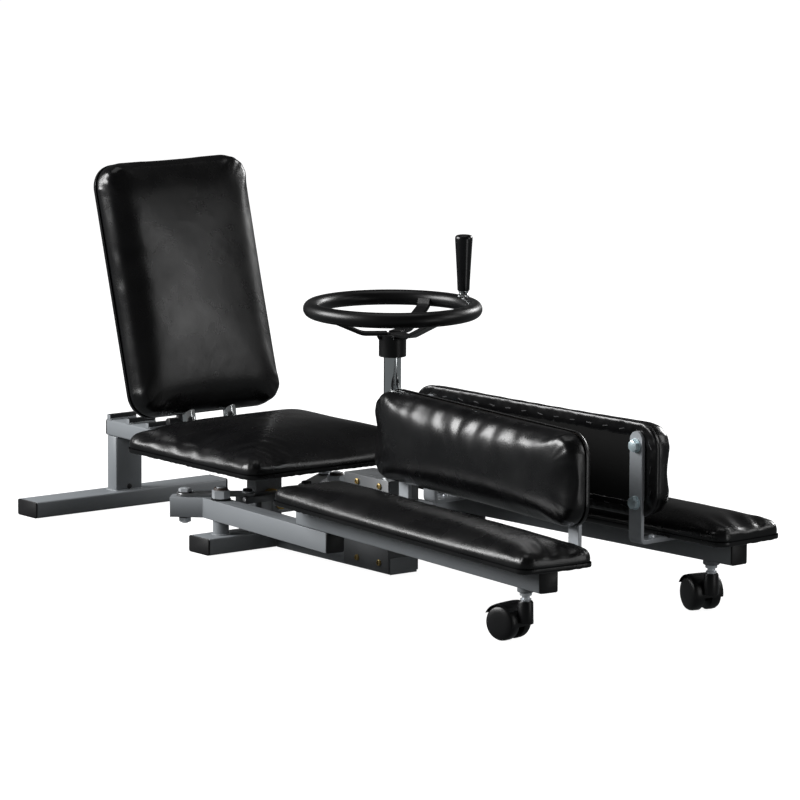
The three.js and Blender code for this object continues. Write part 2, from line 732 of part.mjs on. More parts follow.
// Back rest hinge pin: through the main beam and the feet of the uprights.
const pinHeight = beamUnderside + frameTubeHeight / 2;
const hingePin = turned([
  [0, -hingePinReach - hingeHeadThickness],
  [hingeHeadRadius, -hingePinReach - hingeHeadThickness],
  [hingeHeadRadius, -hingePinReach],
  [hingePinRadius, -hingePinReach],
  [hingePinRadius, hingePinReach],
  [hingeHeadRadius, hingePinReach],
  [hingeHeadRadius, hingePinReach + hingeHeadThickness],
  [0, hingePinReach + hingeHeadThickness],
], finePins);
place(machine, 'back_hinge_pin', hingePin, zincSteel, [hingePlace, 0, pinHeight], alongY);

// Back rest: everything that reclines, in a group with +Z up the pad and +X out of its face.
const backRest = new THREE.Group();
backRest.position.set(hingePlace - backFootSetback, 0, backFootHeight);
backRest.rotation.y = -backLean;
machine.add(backRest);
backRest.updateWorldMatrix(true, false);
const hingeInBack = backRest.worldToLocal(new THREE.Vector3(hingePlace, 0, pinHeight));
const boardRear = -backPadThickness / 2;
const boardFront = boardRear + boardThickness;

// Uprights: two chromed tubes bent a little below the pad, joined by a strip inside the pad.
const uprightBend = new THREE.Vector3(-uprightSetback, 0, -uprightBendDrop);
const uprightDown = hingeInBack.clone().sub(uprightBend).normalize();
const uprightFoot = hingeInBack.clone().addScaledVector(uprightDown, uprightBelowHinge);
const uprightHead = new THREE.Vector3(-uprightSetback, 0, uprightInsert);
const uprightLine = new THREE.CurvePath();
const bendStart = uprightBend.clone().addScaledVector(uprightDown, uprightRadius);
const bendEnd = uprightBend.clone().add(new THREE.Vector3(0, 0, uprightRadius));
uprightLine.add(new THREE.LineCurve3(uprightFoot, bendStart));
uprightLine.add(new THREE.QuadraticBezierCurve3(bendStart, uprightBend, bendEnd));
uprightLine.add(new THREE.LineCurve3(bendEnd, uprightHead));
const uprightSection = new THREE.Shape().absarc(0, 0, uprightRadius, 0, 2 * Math.PI);
uprightSection.holes.push(new THREE.Path().absarc(0, 0, uprightBore, 0, 2 * Math.PI));
const uprightSteps = 9;
const uprightFacets = 6;
const uprightTubes = [];
for (const side of [1, -1]) {
  const sweep = { extrudePath: uprightLine, steps: uprightSteps, curveSegments: uprightFacets, bevelEnabled: false };
  uprightTubes.push(new THREE.ExtrudeGeometry(uprightSection, sweep).translate(0, side * uprightSpread, 0));
}
const stripFront = boardFront + uprightStripThickness;
const uprightStrip = block(
  [boardFront + fitGap, -uprightSpread, uprightInsert - uprightStripWidth],
  [stripFront, uprightSpread, uprightInsert - fitGap],
);
const uprightPinHole = rod(hingePinRadius + fitGap, -hingePinReach, hingePinReach, finePins).rotateX(Math.PI / 2);
uprightPinHole.translate(hingeInBack.x, 0, hingeInBack.z);
const backFrame = build([...uprightTubes, uprightStrip], [uprightPinHole]);
place(backRest, 'back_frame', backFrame, chrome);

// Back board and cushion, with channels for the uprights and their strip.
const pocketTop = uprightInsert + fitGap;
const channels = [];
for (const side of [1, -1]) {
  const middle = side * uprightSpread;
  const half = uprightRadius + fitGap;
  const low = [-uprightSetback - half, middle - half, -cutOverrun];
  const high = [-uprightSetback + half, middle + half, pocketTop];
  channels.push(block(low, high));
}
const stripPocket = block(
  [boardFront - fitGap, -uprightSpread, uprightInsert - uprightStripWidth - fitGap],
  [stripFront + fitGap, uprightSpread, pocketTop],
);
const boardOnEdge = new THREE.Matrix4().makeBasis(unitY, unitZ, unitX);
const backPlan = [backPadWidth, backPadLength, backPadCorner];
const padMiddle = backPadLength / 2;
const backBoard = board(...backPlan).applyMatrix4(boardOnEdge).translate(boardRear, 0, padMiddle);
place(backRest, 'back_board', build([backBoard], channels), plywood);
const backDrawIn = backCushionEdge / 9;
const backCushion = cushion(...backPlan, backCushionEdge, backCushionCrown, backDrawIn);
backCushion.applyMatrix4(boardOnEdge).translate(boardFront + fitGap, 0, padMiddle);
place(backRest, 'back_cushion', build([backCushion], [...channels, stripPocket]), blackVinyl);

// Strut bracket: a plate on the rear of the back board, with two lugs and a pin for the strut.
const strutPinX = -strutPinSetback;
const lugInner = strutEyeWidth / 2 + fitGap;
const lugOuter = lugInner + strutLugThickness;
const plateRear = boardRear - strutPlateThickness;
const plateHalf = strutPlateHeight / 2;
const bracketSolids = [
  block(
    [plateRear, -strutPlateWidth / 2, strutPinHeight - plateHalf],
    [boardRear, strutPlateWidth / 2, strutPinHeight + plateHalf],
  ),
  rod(strutPinRadius, -lugOuter - strutLugThickness, lugOuter + strutLugThickness, finePins)
    .rotateX(Math.PI / 2).translate(strutPinX, 0, strutPinHeight),
];
for (const side of [1, -1]) {
  const lug = rod(strutLugRadius, -strutLugThickness / 2, strutLugThickness / 2);
  const arm = block(
    [0, -strutLugRadius, -strutLugThickness / 2],
    [strutPinSetback + boardRear - strutPlateThickness / 2, strutLugRadius, strutLugThickness / 2],
  );
  const middle = side * (lugInner + lugOuter) / 2;
  bracketSolids.push(build([lug, arm]).rotateX(Math.PI / 2).translate(strutPinX, middle, strutPinHeight));
}
place(backRest, 'strut_bracket', build(bracketSolids), darkCoat);

// Back strut: a round bar with an eye on the bracket's pin and a cross foot over the fourth stop.
const strutPin = backRest.localToWorld(new THREE.Vector3(strutPinX, 0, strutPinHeight));
const lastStop = firstStop + (stopCount - 1) * stopPitch;
const strutFoot = new THREE.Vector3(lastStop, 0, stopTop + strutBarRadius + strutFootClearance);
const strutReach = strutFoot.distanceTo(strutPin);
const strutSwing = Math.atan2(strutPin.x - strutFoot.x, strutPin.z - strutFoot.z);
const strutHalf = strutEyeWidth / 2;
const strut = build(
  [
    rod(strutEyeRadius, -strutHalf, strutHalf).rotateX(Math.PI / 2),
    rod(strutBarRadius, -strutReach, -strutPinRadius - fitGap),
    rod(strutBarRadius, -strutFootLength / 2, strutFootLength / 2).rotateX(Math.PI / 2).translate(0, 0, -strutReach),
  ],
  [rod(strutPinRadius + fitGap, -strutEyeWidth, strutEyeWidth, finePins).rotateX(Math.PI / 2)],
);
const strutMesh = place(machine, 'back_strut', strut, darkCoat, strutPin.toArray());
strutMesh.rotation.y = strutSwing;

// One leg carrier, in a group at its stud, with +X along the leg. side is 1 for the left leg.
function legCarrier(name, side) {
  const leg = new THREE.Group();
  leg.position.set(pivotPlace, side * pivotSpread, 0);
  leg.rotation.z = side * legSplay;
  machine.add(leg);

  // Arm: a square tube cut and welded at an angle behind the stud, drilled for the stud and for
  // the link's bolt.
  const armFront = armReach - capPlate;
  const bend = new THREE.Vector2(-armBendBack, 0);
  const tail = new THREE.Vector2(-Math.cos(armTailTurn), side * Math.sin(armTailTurn));
  const tailEnd = bend.clone().addScaledVector(tail, armTailLength);
  const tailPast = bend.clone().addScaledVector(tail, armTailLength + cutOverrun);
  const outer = mitredStrip([tailEnd, bend, new THREE.Vector2(armFront, 0)], legTubeSize / 2);
  const innerLine = [tailPast, bend, new THREE.Vector2(armFront + cutOverrun, 0)];
  const inner = mitredStrip(innerLine, legTubeSize / 2 - legTubeWall);
  const armBolt = bend.clone().addScaledVector(tail, armTailBolt);
  const studHole = rod(pivotStudRadius + fitGap, -cutOverrun, legTubeSize + cutOverrun, finePins);
  const boltHole = rod(armBoltRadius + fitGap, -cutOverrun, legTubeSize + cutOverrun, finePins);
  boltHole.translate(armBolt.x, armBolt.y, 0);
  const hollow = prism(inner, legTubeSize - 2 * legTubeWall).translate(0, 0, legTubeWall);
  const arm = build([prism(outer, legTubeSize)], [hollow, studHole, boltHole]);
  place(leg, `arm_${name}`, arm, greyCoat, [0, 0, armUnderside]);
  const legSection = [legTubeSize, legTubeSize, legTubeWall, legTubeCorner];
  const armMiddle = armUnderside + legTubeSize / 2;
  place(leg, `arm_cap_${name}`, endCap(...legSection), blackPlastic, [armFront, 0, armMiddle], alongX);

  // Leg tube: bolted on top of the arm, drilled underneath for the caster's stem.
  const tubeEnd = legTubeEnd - capPlate;
  const stemHole = rod(casterStemRadius + fitGap, -cutOverrun, legTubeWall + cutOverrun, finePins);
  stemHole.rotateX(-Math.PI / 2).translate(0, -legTubeSize / 2, casterStem - legTubeStart);
  const legTube = build([tube(...legSection, tubeEnd - legTubeStart)], [stemHole]);
  const tubeMiddle = armTop + legTubeSize / 2;
  place(leg, `leg_tube_${name}`, legTube, greyCoat, [legTubeStart, 0, tubeMiddle], alongX);
  place(leg, `leg_tube_cap_${name}`, endCap(...legSection), blackPlastic, [tubeEnd, 0, tubeMiddle], alongX);

  // Leg rest: a board on the bracket feet, with its vinyl cushion.
  const legPadMiddle = legPadStart + legPadLength / 2;
  const legPlan = [legPadLength, legPadWidth, legPadCorner];
  const legDrawIn = legCushionEdge / 8;
  place(leg, `leg_board_${name}`, board(...legPlan), plywood, [legPadMiddle, 0, legBoardFoot]);
  const legCushion = cushion(...legPlan, legCushionEdge, legCushionCrown, legDrawIn);
  const legCushionFoot = legBoardFoot + boardThickness + fitGap;
  place(leg, `leg_cushion_${name}`, legCushion, blackVinyl, [legPadMiddle, 0, legCushionFoot]);

  // Side pad: a board against the brackets, its cushion facing outward.
  const facingOut = side > 0
    ? new THREE.Matrix4().makeBasis(unitX.clone().negate(), unitZ, unitY)
    : new THREE.Matrix4().makeBasis(unitX, unitZ, unitY.clone().negate());
  const sideMiddle = sidePadStart + sidePadLength / 2;
  const sidePlan = [sidePadLength, sidePadHeight, sidePadCorner];
  const sideHeight = sidePadUnderside + sidePadHeight / 2;
  const sideBack = sideBoardOffset + boardThickness;
  const boardSpot = [sideMiddle, -side * sideBack, sideHeight];
  place(leg, `side_board_${name}`, board(...sidePlan), plywood, boardSpot, facingOut);
  const sideDrawIn = sideCushionEdge / 8;
  const sideCushion = cushion(...sidePlan, sideCushionEdge, sideCushionCrown, sideDrawIn);
  const cushionSpot = [sideMiddle, -side * (sideBoardOffset - fitGap), sideHeight];
  place(leg, `side_cushion_${name}`, sideCushion, blackVinyl, cushionSpot, facingOut);

  // Brackets: flat steel, a round-topped bar behind the side pad and a foot under the leg rest.
  const bracketPlaces = [
    ['rear', sidePadStart + bracketInset],
    ['front', sidePadStart + sidePadLength - bracketInset],
  ];
  for (const [end, x] of bracketPlaces) {
    const half = bracketWidth / 2;
    const outline = rectangle(-half, half, legTubeTop, bracketTop - half);
    const bar = prism(outline, bracketThickness);
    const head = rod(half, 0, bracketThickness).translate(0, bracketTop - half, 0);
    const post = build([bar, head]).rotateX(Math.PI / 2);
    post.translate(0, side > 0 ? -sideBack : sideBack + bracketThickness, 0);
    const footInner = -side * (sideBack + bracketThickness);
    const footOuter = side * bracketFootReach;
    const foot = block(
      [-half, Math.min(footInner, footOuter), legTubeTop],
      [half, Math.max(footInner, footOuter), legTubeTop + bracketThickness],
    );
    place(leg, `side_bracket_${end}_${name}`, build([post, foot]), zincSteel, [x, 0, 0]);
  }

  // Caster: a swivelling hood with its stem, and the wheel pair on one axle.
  const caster = new THREE.Group();
  caster.position.set(casterStem, 0, 0);
  caster.rotation.z = -side * casterYaw;
  leg.add(caster);
  const hoodInner = casterWheelRadius + casterHoodGap;
  const hoodOuter = hoodInner + casterHoodWall;
  const hoodArc = new THREE.Shape();
  hoodArc.absarc(0, 0, hoodOuter, casterHoodFrontAngle, casterHoodRearAngle);
  hoodArc.absarc(0, 0, hoodInner, casterHoodRearAngle, casterHoodFrontAngle, true);
  hoodArc.closePath();
  const hoodWidth = casterWebWidth + 2 * (casterWheelWidth + fitGap);
  const arcSegments = 5;
  const hood = prism(hoodArc, hoodWidth, arcSegments).translate(0, 0, -hoodWidth / 2);
  const webArc = new THREE.Shape();
  webArc.absarc(0, 0, hoodInner + casterHoodWall / 2, casterHoodFrontAngle, casterHoodRearAngle);
  webArc.absarc(0, 0, casterStemRadius * 2, casterHoodRearAngle, 2 * Math.PI + casterHoodFrontAngle);
  webArc.closePath();
  const web = prism(webArc, casterWebWidth, arcSegments).translate(0, 0, -casterWebWidth / 2);
  const axleHole = rod(casterAxleRadius + fitGap, -casterWebWidth, casterWebWidth, finePins);
  const hoodTurn = [hood, web, axleHole].map((geometry) =>
    geometry.rotateX(Math.PI / 2).translate(-casterTrail, 0, casterWheelRadius));
  const stemFoot = casterWheelRadius;
  const collarFoot = armTop - casterCollarHeight;
  const stemTop = tubeMiddle + legTubeSize / 4;
  const stem = turned([
    [0, stemFoot],
    [casterNeckRadius, stemFoot],
    [casterNeckRadius, collarFoot],
    [casterCollarRadius, collarFoot],
    [casterCollarRadius, armTop - fitGap],
    [casterStemRadius, armTop - fitGap],
    [casterStemRadius, stemTop],
    [0, stemTop],
  ]);
  const wheelSpace = casterWheelRadius + casterHoodGap / 2;
  const wheelRooms = [1, -1].map((way) => {
    const room = rod(wheelSpace, casterWebWidth / 2, hoodWidth / 2 + cutOverrun);
    return room.rotateX(way * Math.PI / 2).translate(-casterTrail, 0, casterWheelRadius);
  });
  const hoodBody = build([hoodTurn[0], hoodTurn[1], stem], [hoodTurn[2], ...wheelRooms]);
  place(caster, `caster_hood_${name}`, hoodBody, blackPlastic);
  const wheelInner = casterWebWidth / 2 + fitGap;
  const wheelOuter = wheelInner + casterWheelWidth;
  const tread = casterWheelWidth / 8;
  const wheels = turned([
    [0, -wheelOuter],
    [casterWheelRadius - tread, -wheelOuter],
    [casterWheelRadius, -wheelOuter + tread],
    [casterWheelRadius, -wheelInner],
    [casterAxleRadius, -wheelInner],
    [casterAxleRadius, wheelInner],
    [casterWheelRadius, wheelInner],
    [casterWheelRadius, wheelOuter - tread],
    [casterWheelRadius - tread, wheelOuter],
    [0, wheelOuter],
  ]);
  const axlePlace = [-casterTrail, 0, casterWheelRadius];
  place(caster, `caster_wheels_${name}`, wheels, blackPlastic, axlePlace, alongY);
  return { leg, armBolt };
}
const legs = { left: legCarrier('left', 1), right: legCarrier('right', -1) };

// Links: flat bars on top of the arms' tails and of the carriage, each with its two bolts.
for (const [name, side] of [['left', 1], ['right', -1]]) {
  const { leg, armBolt } = legs[name];
  leg.updateWorldMatrix(true, false);
  const from = leg.localToWorld(new THREE.Vector3(armBolt.x, armBolt.y, 0));
  const to = new THREE.Vector3(carriageBoltPlace, side * carriageBoltSpread, 0);
  const reach = from.distanceTo(to);
  const bar = block([0, -linkWidth / 2, 0], [reach, linkWidth / 2, linkThickness]);
  const ends = [0, reach].map((x) => rod(linkWidth / 2, 0, linkThickness).translate(x, 0, 0));
  const sunk = linkThickness / 2;
  const armBoltFoot = -legTubeSize - 2 * fitGap - armBoltNutHeight;
  const fasteners = [
    hexagon(armBoltHeadFlats, sunk, linkThickness + armBoltHeadHeight),
    rod(armBoltRadius, armBoltFoot + sunk, sunk, finePins),
    hexagon(armBoltHeadFlats, armBoltFoot, armBoltFoot + armBoltNutHeight),
    hexagon(carriageBoltFlats, sunk, linkThickness + carriageBoltHeadHeight).translate(reach, 0, 0),
  ];
  const link = place(machine, `link_${name}`, build([bar, ...ends, ...fasteners]), flatSteel);
  link.position.set(from.x, from.y, armTop + fitGap);
  link.rotation.z = Math.atan2(to.y - from.y, to.x - from.x);
}

export default machine;
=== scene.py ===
import math

import bmesh
import bpy
from mathutils import Matrix, Vector, noise


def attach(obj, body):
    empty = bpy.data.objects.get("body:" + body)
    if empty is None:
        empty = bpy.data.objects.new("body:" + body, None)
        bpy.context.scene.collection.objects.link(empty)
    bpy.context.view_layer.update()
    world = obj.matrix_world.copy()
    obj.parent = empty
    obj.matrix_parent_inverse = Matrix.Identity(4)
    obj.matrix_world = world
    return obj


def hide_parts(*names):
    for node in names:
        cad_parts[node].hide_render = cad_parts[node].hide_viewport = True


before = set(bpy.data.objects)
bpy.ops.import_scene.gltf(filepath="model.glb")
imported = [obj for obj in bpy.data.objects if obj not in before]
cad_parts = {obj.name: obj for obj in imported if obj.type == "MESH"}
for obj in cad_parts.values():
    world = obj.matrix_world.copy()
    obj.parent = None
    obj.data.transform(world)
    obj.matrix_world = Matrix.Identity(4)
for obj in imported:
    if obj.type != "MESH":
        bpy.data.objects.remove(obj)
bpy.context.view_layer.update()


# ---- Camera ------------------------------------------------------------------------------------
# A long lens at a low three-quarter view over the right-hand leg rest, as the machine was photographed.
# Distances are in millimetres; the picture is square and the camera leans a third of a degree.
MM = 0.001
view_azimuth, view_elevation, view_roll = math.radians(52.01), math.radians(9.22), math.radians(0.3)
view_target = Vector((705.575, 0, 255.133)) * MM
view_distance = 8333.33 * MM
sensor_width, focal_pixels, picture_pixels = 36.0, 5737.24, 800

camera = bpy.data.objects.new("camera", bpy.data.cameras.new("camera"))
bpy.context.scene.collection.objects.link(camera)
bpy.context.scene.camera = camera
camera.data.sensor_width = sensor_width
camera.data.lens = sensor_width * focal_pixels / picture_pixels
camera.data.clip_start, camera.data.clip_end = 0.1, 100.0
backward = Vector((
    math.sin(view_azimuth) * math.cos(view_elevation),
    -math.cos(view_azimuth) * math.cos(view_elevation),
    math.sin(view_elevation),
))
level_right = Vector((0, 0, 1)).cross(backward).normalized()
level_up = backward.cross(level_right)
right = level_right * math.cos(view_roll) + level_up * math.sin(view_roll)
up = backward.cross(right)
camera.matrix_world = Matrix.Translation(view_target + backward * view_distance) @ Matrix(
    (right, up, backward)
).transposed().to_4x4()


# ---- Studio ------------------------------------------------------------------------------------
# The paper floor and the backdrop are white to the lens and dim in the metal's reflections. A large
# soft box stands behind the machine's right shoulder, a tall one ahead of it, a fill on its far
# side, and weak ones above it and low in front.
def node_tree(owner):
    owner.use_nodes = True
    owner.node_tree.nodes.clear()
    return owner.node_tree


def add_node(tree, kind, **values):
    """Adds a node; a value goes to the input of that name (with _ for a space), or else to the node."""
    made = tree.nodes.new(kind)
    for name, value in values.items():
        socket = name.replace("_", " ")
        if socket in made.inputs:
            made.inputs[socket].default_value = value
        else:
            setattr(made, name, value)
    return made


def wire(tree, *links):
    """Each link reads: node, its output, node, its input."""
    for source, out, target, into in links:
        tree.links.new(source.outputs[out], target.inputs[into])


scene = bpy.context.scene
scene.view_settings.view_transform = "Standard"
scene.world = bpy.data.worlds.new("studio")
tree = node_tree(scene.world)
rays = add_node(tree, "ShaderNodeLightPath")
direction = add_node(tree, "ShaderNodeTexCoord")
height = add_node(tree, "ShaderNodeSeparateXYZ")
wall = add_node(tree, "ShaderNodeMapRange", From_Min=0.5, From_Max=0.0, To_Min=0.04, To_Max=0.13)
mirrored = add_node(tree, "ShaderNodeMath", operation="MAXIMUM")
room = add_node(tree, "ShaderNodeMix", data_type="FLOAT", A=0.26)
strength = add_node(tree, "ShaderNodeMath", operation="MAXIMUM")
backdrop = add_node(tree, "ShaderNodeBackground", Color=(1, 1, 1, 1))
leave = add_node(tree, "ShaderNodeOutputWorld")
wire(tree, (direction, "Generated", height, 0), (height, "Z", wall, "Value"),
     (rays, "Is Glossy Ray", mirrored, 0), (rays, "Is Transmission Ray", mirrored, 1),
     (mirrored, 0, room, "Factor"), (wall, 0, room, "B"),
     (rays, "Is Camera Ray", strength, 0), (room, 0, strength, 1),
     (strength, 0, backdrop, "Strength"), (backdrop, 0, leave, "Surface"))

floor_reach, floor_middle = 14.0, (0.6, 0, -0.0002)
floor = bpy.data.objects.new("floor", bpy.data.meshes.new("floor"))
scene.collection.objects.link(floor)
floor_round = bmesh.new()
bmesh.ops.create_circle(floor_round, cap_ends=True, radius=floor_reach, segments=64)
bmesh.ops.translate(floor_round, verts=floor_round.verts, vec=floor_middle)
floor_round.to_mesh(floor.data)
floor_round.free()
paper = bpy.data.materials.new("floor_paper")
tree = node_tree(paper)
rays = add_node(tree, "ShaderNodeLightPath")
lit_paper = add_node(tree, "ShaderNodeBsdfDiffuse", Color=(0.3, 0.3, 0.3, 1))
dark_paper = add_node(tree, "ShaderNodeBsdfDiffuse", Color=(0.10, 0.10, 0.10, 1))
glow = add_node(tree, "ShaderNodeEmission", Color=(1, 1, 1, 1), Strength=0.95)
mirrored_glow = add_node(tree, "ShaderNodeEmission", Color=(0.93, 0.98, 1, 1), Strength=0.14)
bright = add_node(tree, "ShaderNodeAddShader")
in_metal = add_node(tree, "ShaderNodeMixShader")
by_ray = add_node(tree, "ShaderNodeMixShader")
leave = add_node(tree, "ShaderNodeOutputMaterial")
wire(tree, (lit_paper, 0, bright, 0), (glow, 0, bright, 1),
     (rays, "Is Glossy Ray", in_metal, 0), (dark_paper, 0, in_metal, 1), (mirrored_glow, 0, in_metal, 2),
     (rays, "Is Camera Ray", by_ray, 0), (in_metal, 0, by_ray, 1), (bright, 0, by_ray, 2),
     (by_ray, 0, leave, "Surface"))
floor.data.materials.append(paper)

soft_boxes = {
    "key_box": ((-0.97, -2.29, 1.65), (2.4, 1.4), 185),
    "front_box": ((1.85, 1.03, 0.89), (0.44, 0.62), 3.2),
    "far_fill": ((0.3, 3.2, 1.45), (1.2, 0.9), 60),
    "top_box": ((0.4, 0.3, 3.2), (2.0, 1.6), 10),
    "low_strip": ((1.95, 0.30, 0.26), (0.30, 0.5), 1.1),
}
for name, (place, size, power) in soft_boxes.items():
    lamp = bpy.data.lights.new(name, "AREA")
    lamp.shape, lamp.size, lamp.size_y, lamp.energy = "RECTANGLE", *size, power
    box = bpy.data.objects.new(name, lamp)
    scene.collection.objects.link(box)
    aim = view_target - Vector(place)
    box.matrix_world = Matrix.Translation(place) @ aim.to_track_quat("-Z", "Y").to_matrix().to_4x4()


# ---- Welded steel tubes ------------------------------------------------------------------------
# The frame, arms and leg tubes are cold-rolled rectangular tube in mid grey powder coat: a satin
# finish with fine orange peel, slightly darker in patches. Their cut edges are broken a little.
def patchy(tree, base, roughness, uneven, gloss_uneven, span, **patch):
    """A shader whose tone and gloss drift together from patch to patch, and its texture's place."""
    shader = add_node(tree, "ShaderNodeBsdfPrincipled", Roughness=roughness)
    at = add_node(tree, "ShaderNodeTexCoord")
    patches = add_node(tree, "ShaderNodeTexNoise", **patch)
    tones = add_node(tree, "ShaderNodeMix", data_type="RGBA", A=(*[c * (1 - uneven) for c in base], 1),
                     B=(*[c * (1 + uneven) for c in base], 1))
    gloss = add_node(tree, "ShaderNodeMapRange", From_Min=span[0], From_Max=span[1],
                     To_Min=roughness - gloss_uneven, To_Max=roughness + gloss_uneven)
    leave = add_node(tree, "ShaderNodeOutputMaterial")
    wire(tree, (at, "Object", patches, "Vector"), (patches, "Fac", tones, "Factor"),
         (tones, "Result", shader, "Base Color"), (patches, "Fac", gloss, "Value"),
         (gloss, "Result", shader, "Roughness"), (shader, 0, leave, "Surface"))
    return shader, at


def finish(name, base, roughness, metallic=0.0, specular=0.5, uneven=0.15, tone_scale=9.0,
           gloss_uneven=0.06, bump_scale=900.0, bump_height=0.15):
    """A coated, plated or moulded surface with a fine grain."""
    material = bpy.data.materials.new(name)
    tree = node_tree(material)
    shader, at = patchy(tree, base, roughness, uneven, gloss_uneven, (0, 1), Scale=tone_scale, Detail=5.0,
                        Roughness=0.6)
    shader.inputs["Metallic"].default_value = metallic
    shader.inputs["Specular IOR Level"].default_value = specular
    grain = add_node(tree, "ShaderNodeTexNoise", Scale=bump_scale, Detail=3.0)
    bump = add_node(tree, "ShaderNodeBump", Strength=bump_height, Distance=0.0004)
    wire(tree, (at, "Object", grain, "Vector"), (grain, "Fac", bump, "Height"),
         (bump, "Normal", shader, "Normal"))
    return material


def dress(node, material, edge=0.0):
    """Coats a CAD piece and, where an edge width is given, breaks its corners."""
    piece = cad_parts[node]
    piece.data.materials.clear()
    piece.data.materials.append(material)
    if edge:
        merge = piece.modifiers.new("weld", "WELD")
        merge.merge_threshold = 0.00001
        bevel = piece.modifiers.new("edge", "BEVEL")
        bevel.width, bevel.segments = edge, 2
        bevel.limit_method, bevel.angle_limit = "ANGLE", math.radians(30)
        bevel.harden_normals = True
        piece.data.shade_smooth()


grey_coat = finish("grey_powder_coat", (0.172, 0.184, 0.195), 0.42, uneven=0.06)
tube_edge = 0.0008
for node in ("rear_foot_tube", "rear_post", "main_beam", "front_post", "front_foot_tube", "lower_beam",
             "arm_left", "arm_right", "leg_tube_left", "leg_tube_right"):
    dress(node, grey_coat, tube_edge)


# ---- Strut stops -------------------------------------------------------------------------------
# Four lengths of square bar are welded across the main beam, for the back strut's foot. They are
# coated black on the outside, and their sawn ends stay lighter.
black_coat = finish("black_satin_coat", (0.012, 0.012, 0.013), 0.38, uneven=0.3)
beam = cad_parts["main_beam"].data
beam.materials.append(black_coat)
stop_foot = 0.1352
for face in beam.polygons:
    if face.center.z > stop_foot and abs(face.normal.y) < 0.5:
        face.material_index = 1


# ---- Weld beads --------------------------------------------------------------------------------
# Fillet welds close the tube joints. Each is a row of overlapping half-round beads laid along the
# joint line and coated with the tube, a little uneven in size.
def link_piece(name, mesh, *materials):
    piece = bpy.data.objects.new(name, mesh)
    scene.collection.objects.link(piece)
    for material in materials:
        mesh.materials.append(material)
    mesh.shade_smooth()
    return piece


def fit(piece, slot, body, *replaced):
    """Hides the CAD pieces a piece stands for and hangs it on its body; slot is not used."""
    if replaced:
        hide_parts(*replaced)
    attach(piece, body)


def plain_mesh(name, points, edges=(), faces=()):
    mesh = bpy.data.meshes.new(name)
    mesh.from_pydata([tuple(p) for p in points], edges, faces)
    mesh.update()
    return mesh


def open_group(name, **inputs):
    """Starts a node group: a mesh goes in and out, and it takes named sizes and a material."""
    group = bpy.data.node_groups.new(name, "GeometryNodeTree")
    for way in ("INPUT", "OUTPUT"):
        group.interface.new_socket("Geometry", in_out=way, socket_type="NodeSocketGeometry")
    for label, value in inputs.items():
        kind = {float: "Float", tuple: "Vector", str: "Object"}[type(value)]
        socket = group.interface.new_socket(label, in_out="INPUT", socket_type=f"NodeSocket{kind}")
        if kind != "Object":
            socket.default_value = value
    group.interface.new_socket("Material", in_out="INPUT", socket_type="NodeSocketMaterial")
    return group, add_node(group, "NodeGroupInput")


def close_group(group, entry, last, out):
    """Ends a node group: its copies become real faces and take the material."""
    real = add_node(group, "GeometryNodeRealizeInstances")
    coat = add_node(group, "GeometryNodeSetMaterial")
    leave = add_node(group, "NodeGroupOutput")
    wire(group, (last, out, real, "Geometry"), (real, "Geometry", coat, "Geometry"),
         (entry, "Material", coat, "Material"), (coat, "Geometry", leave, "Geometry"))


def keep_shape(piece):
    """Turns the piece's modifiers into its plain mesh."""
    bpy.context.view_layer.update()
    graph = bpy.context.evaluated_depsgraph_get()
    made = bpy.data.meshes.new_from_object(piece.evaluated_get(graph))
    piece.modifiers.clear()
    old, piece.data = piece.data, made
    made.name = piece.name
    bpy.data.meshes.remove(old)


def run_nodes(piece, group, **inputs):
    modifier = piece.modifiers.new("nodes", "NODES")
    modifier.node_group = group
    for item in group.interface.items_tree:
        if item.in_out == "INPUT" and item.name in inputs:
            modifier[item.identifier] = inputs[item.name]
    keep_shape(piece)


bead_group, entry = open_group("weld_bead", Radius=0.0022, Step=0.0016)
run = add_node(bead_group, "GeometryNodeMeshToCurve")
steps = add_node(bead_group, "GeometryNodeResampleCurve", mode="LENGTH")
bead = add_node(bead_group, "GeometryNodeMeshIcoSphere", Subdivisions=2)
size = add_node(bead_group, "FunctionNodeRandomValue", data_type="FLOAT", Seed=4)
size.inputs[2].default_value, size.inputs[3].default_value = 0.8, 1.1
put = add_node(bead_group, "GeometryNodeInstanceOnPoints")
wire(bead_group, (entry, "Geometry", run, "Mesh"), (run, "Curve", steps, "Curve"),
     (entry, "Step", steps, "Length"), (entry, "Radius", bead, "Radius"), (steps, "Curve", put, "Points"),
     (bead, "Mesh", put, "Instance"), (size, 1, put, "Scale"))
close_group(bead_group, entry, put, "Instances")


def weld(name, body, runs, radius, material=grey_coat, slot="grey_powder_coat"):
    """Lays beads along each run, in millimetres. A run that ends where it began goes round."""
    points, edges = [], []
    for run in runs:
        first, closed = len(points), run[0] == run[-1]
        line = run[:-1] if closed else run
        points += [Vector(p) * MM for p in line]
        edges += [(first + i, first + i + 1) for i in range(len(line) - 1)]
        if closed:
            edges.append((len(points) - 1, first))
    piece = link_piece(name, plain_mesh(name, points, edges), material)
    run_nodes(piece, bead_group, Radius=radius, Step=radius * 0.75, Material=material)
    piece.data.shade_smooth()
    fit(piece, slot, body)


def ring_round(x0, x1, half, z):
    return [(x0, -half, z), (x1, -half, z), (x1, half, z), (x0, half, z), (x0, -half, z)]


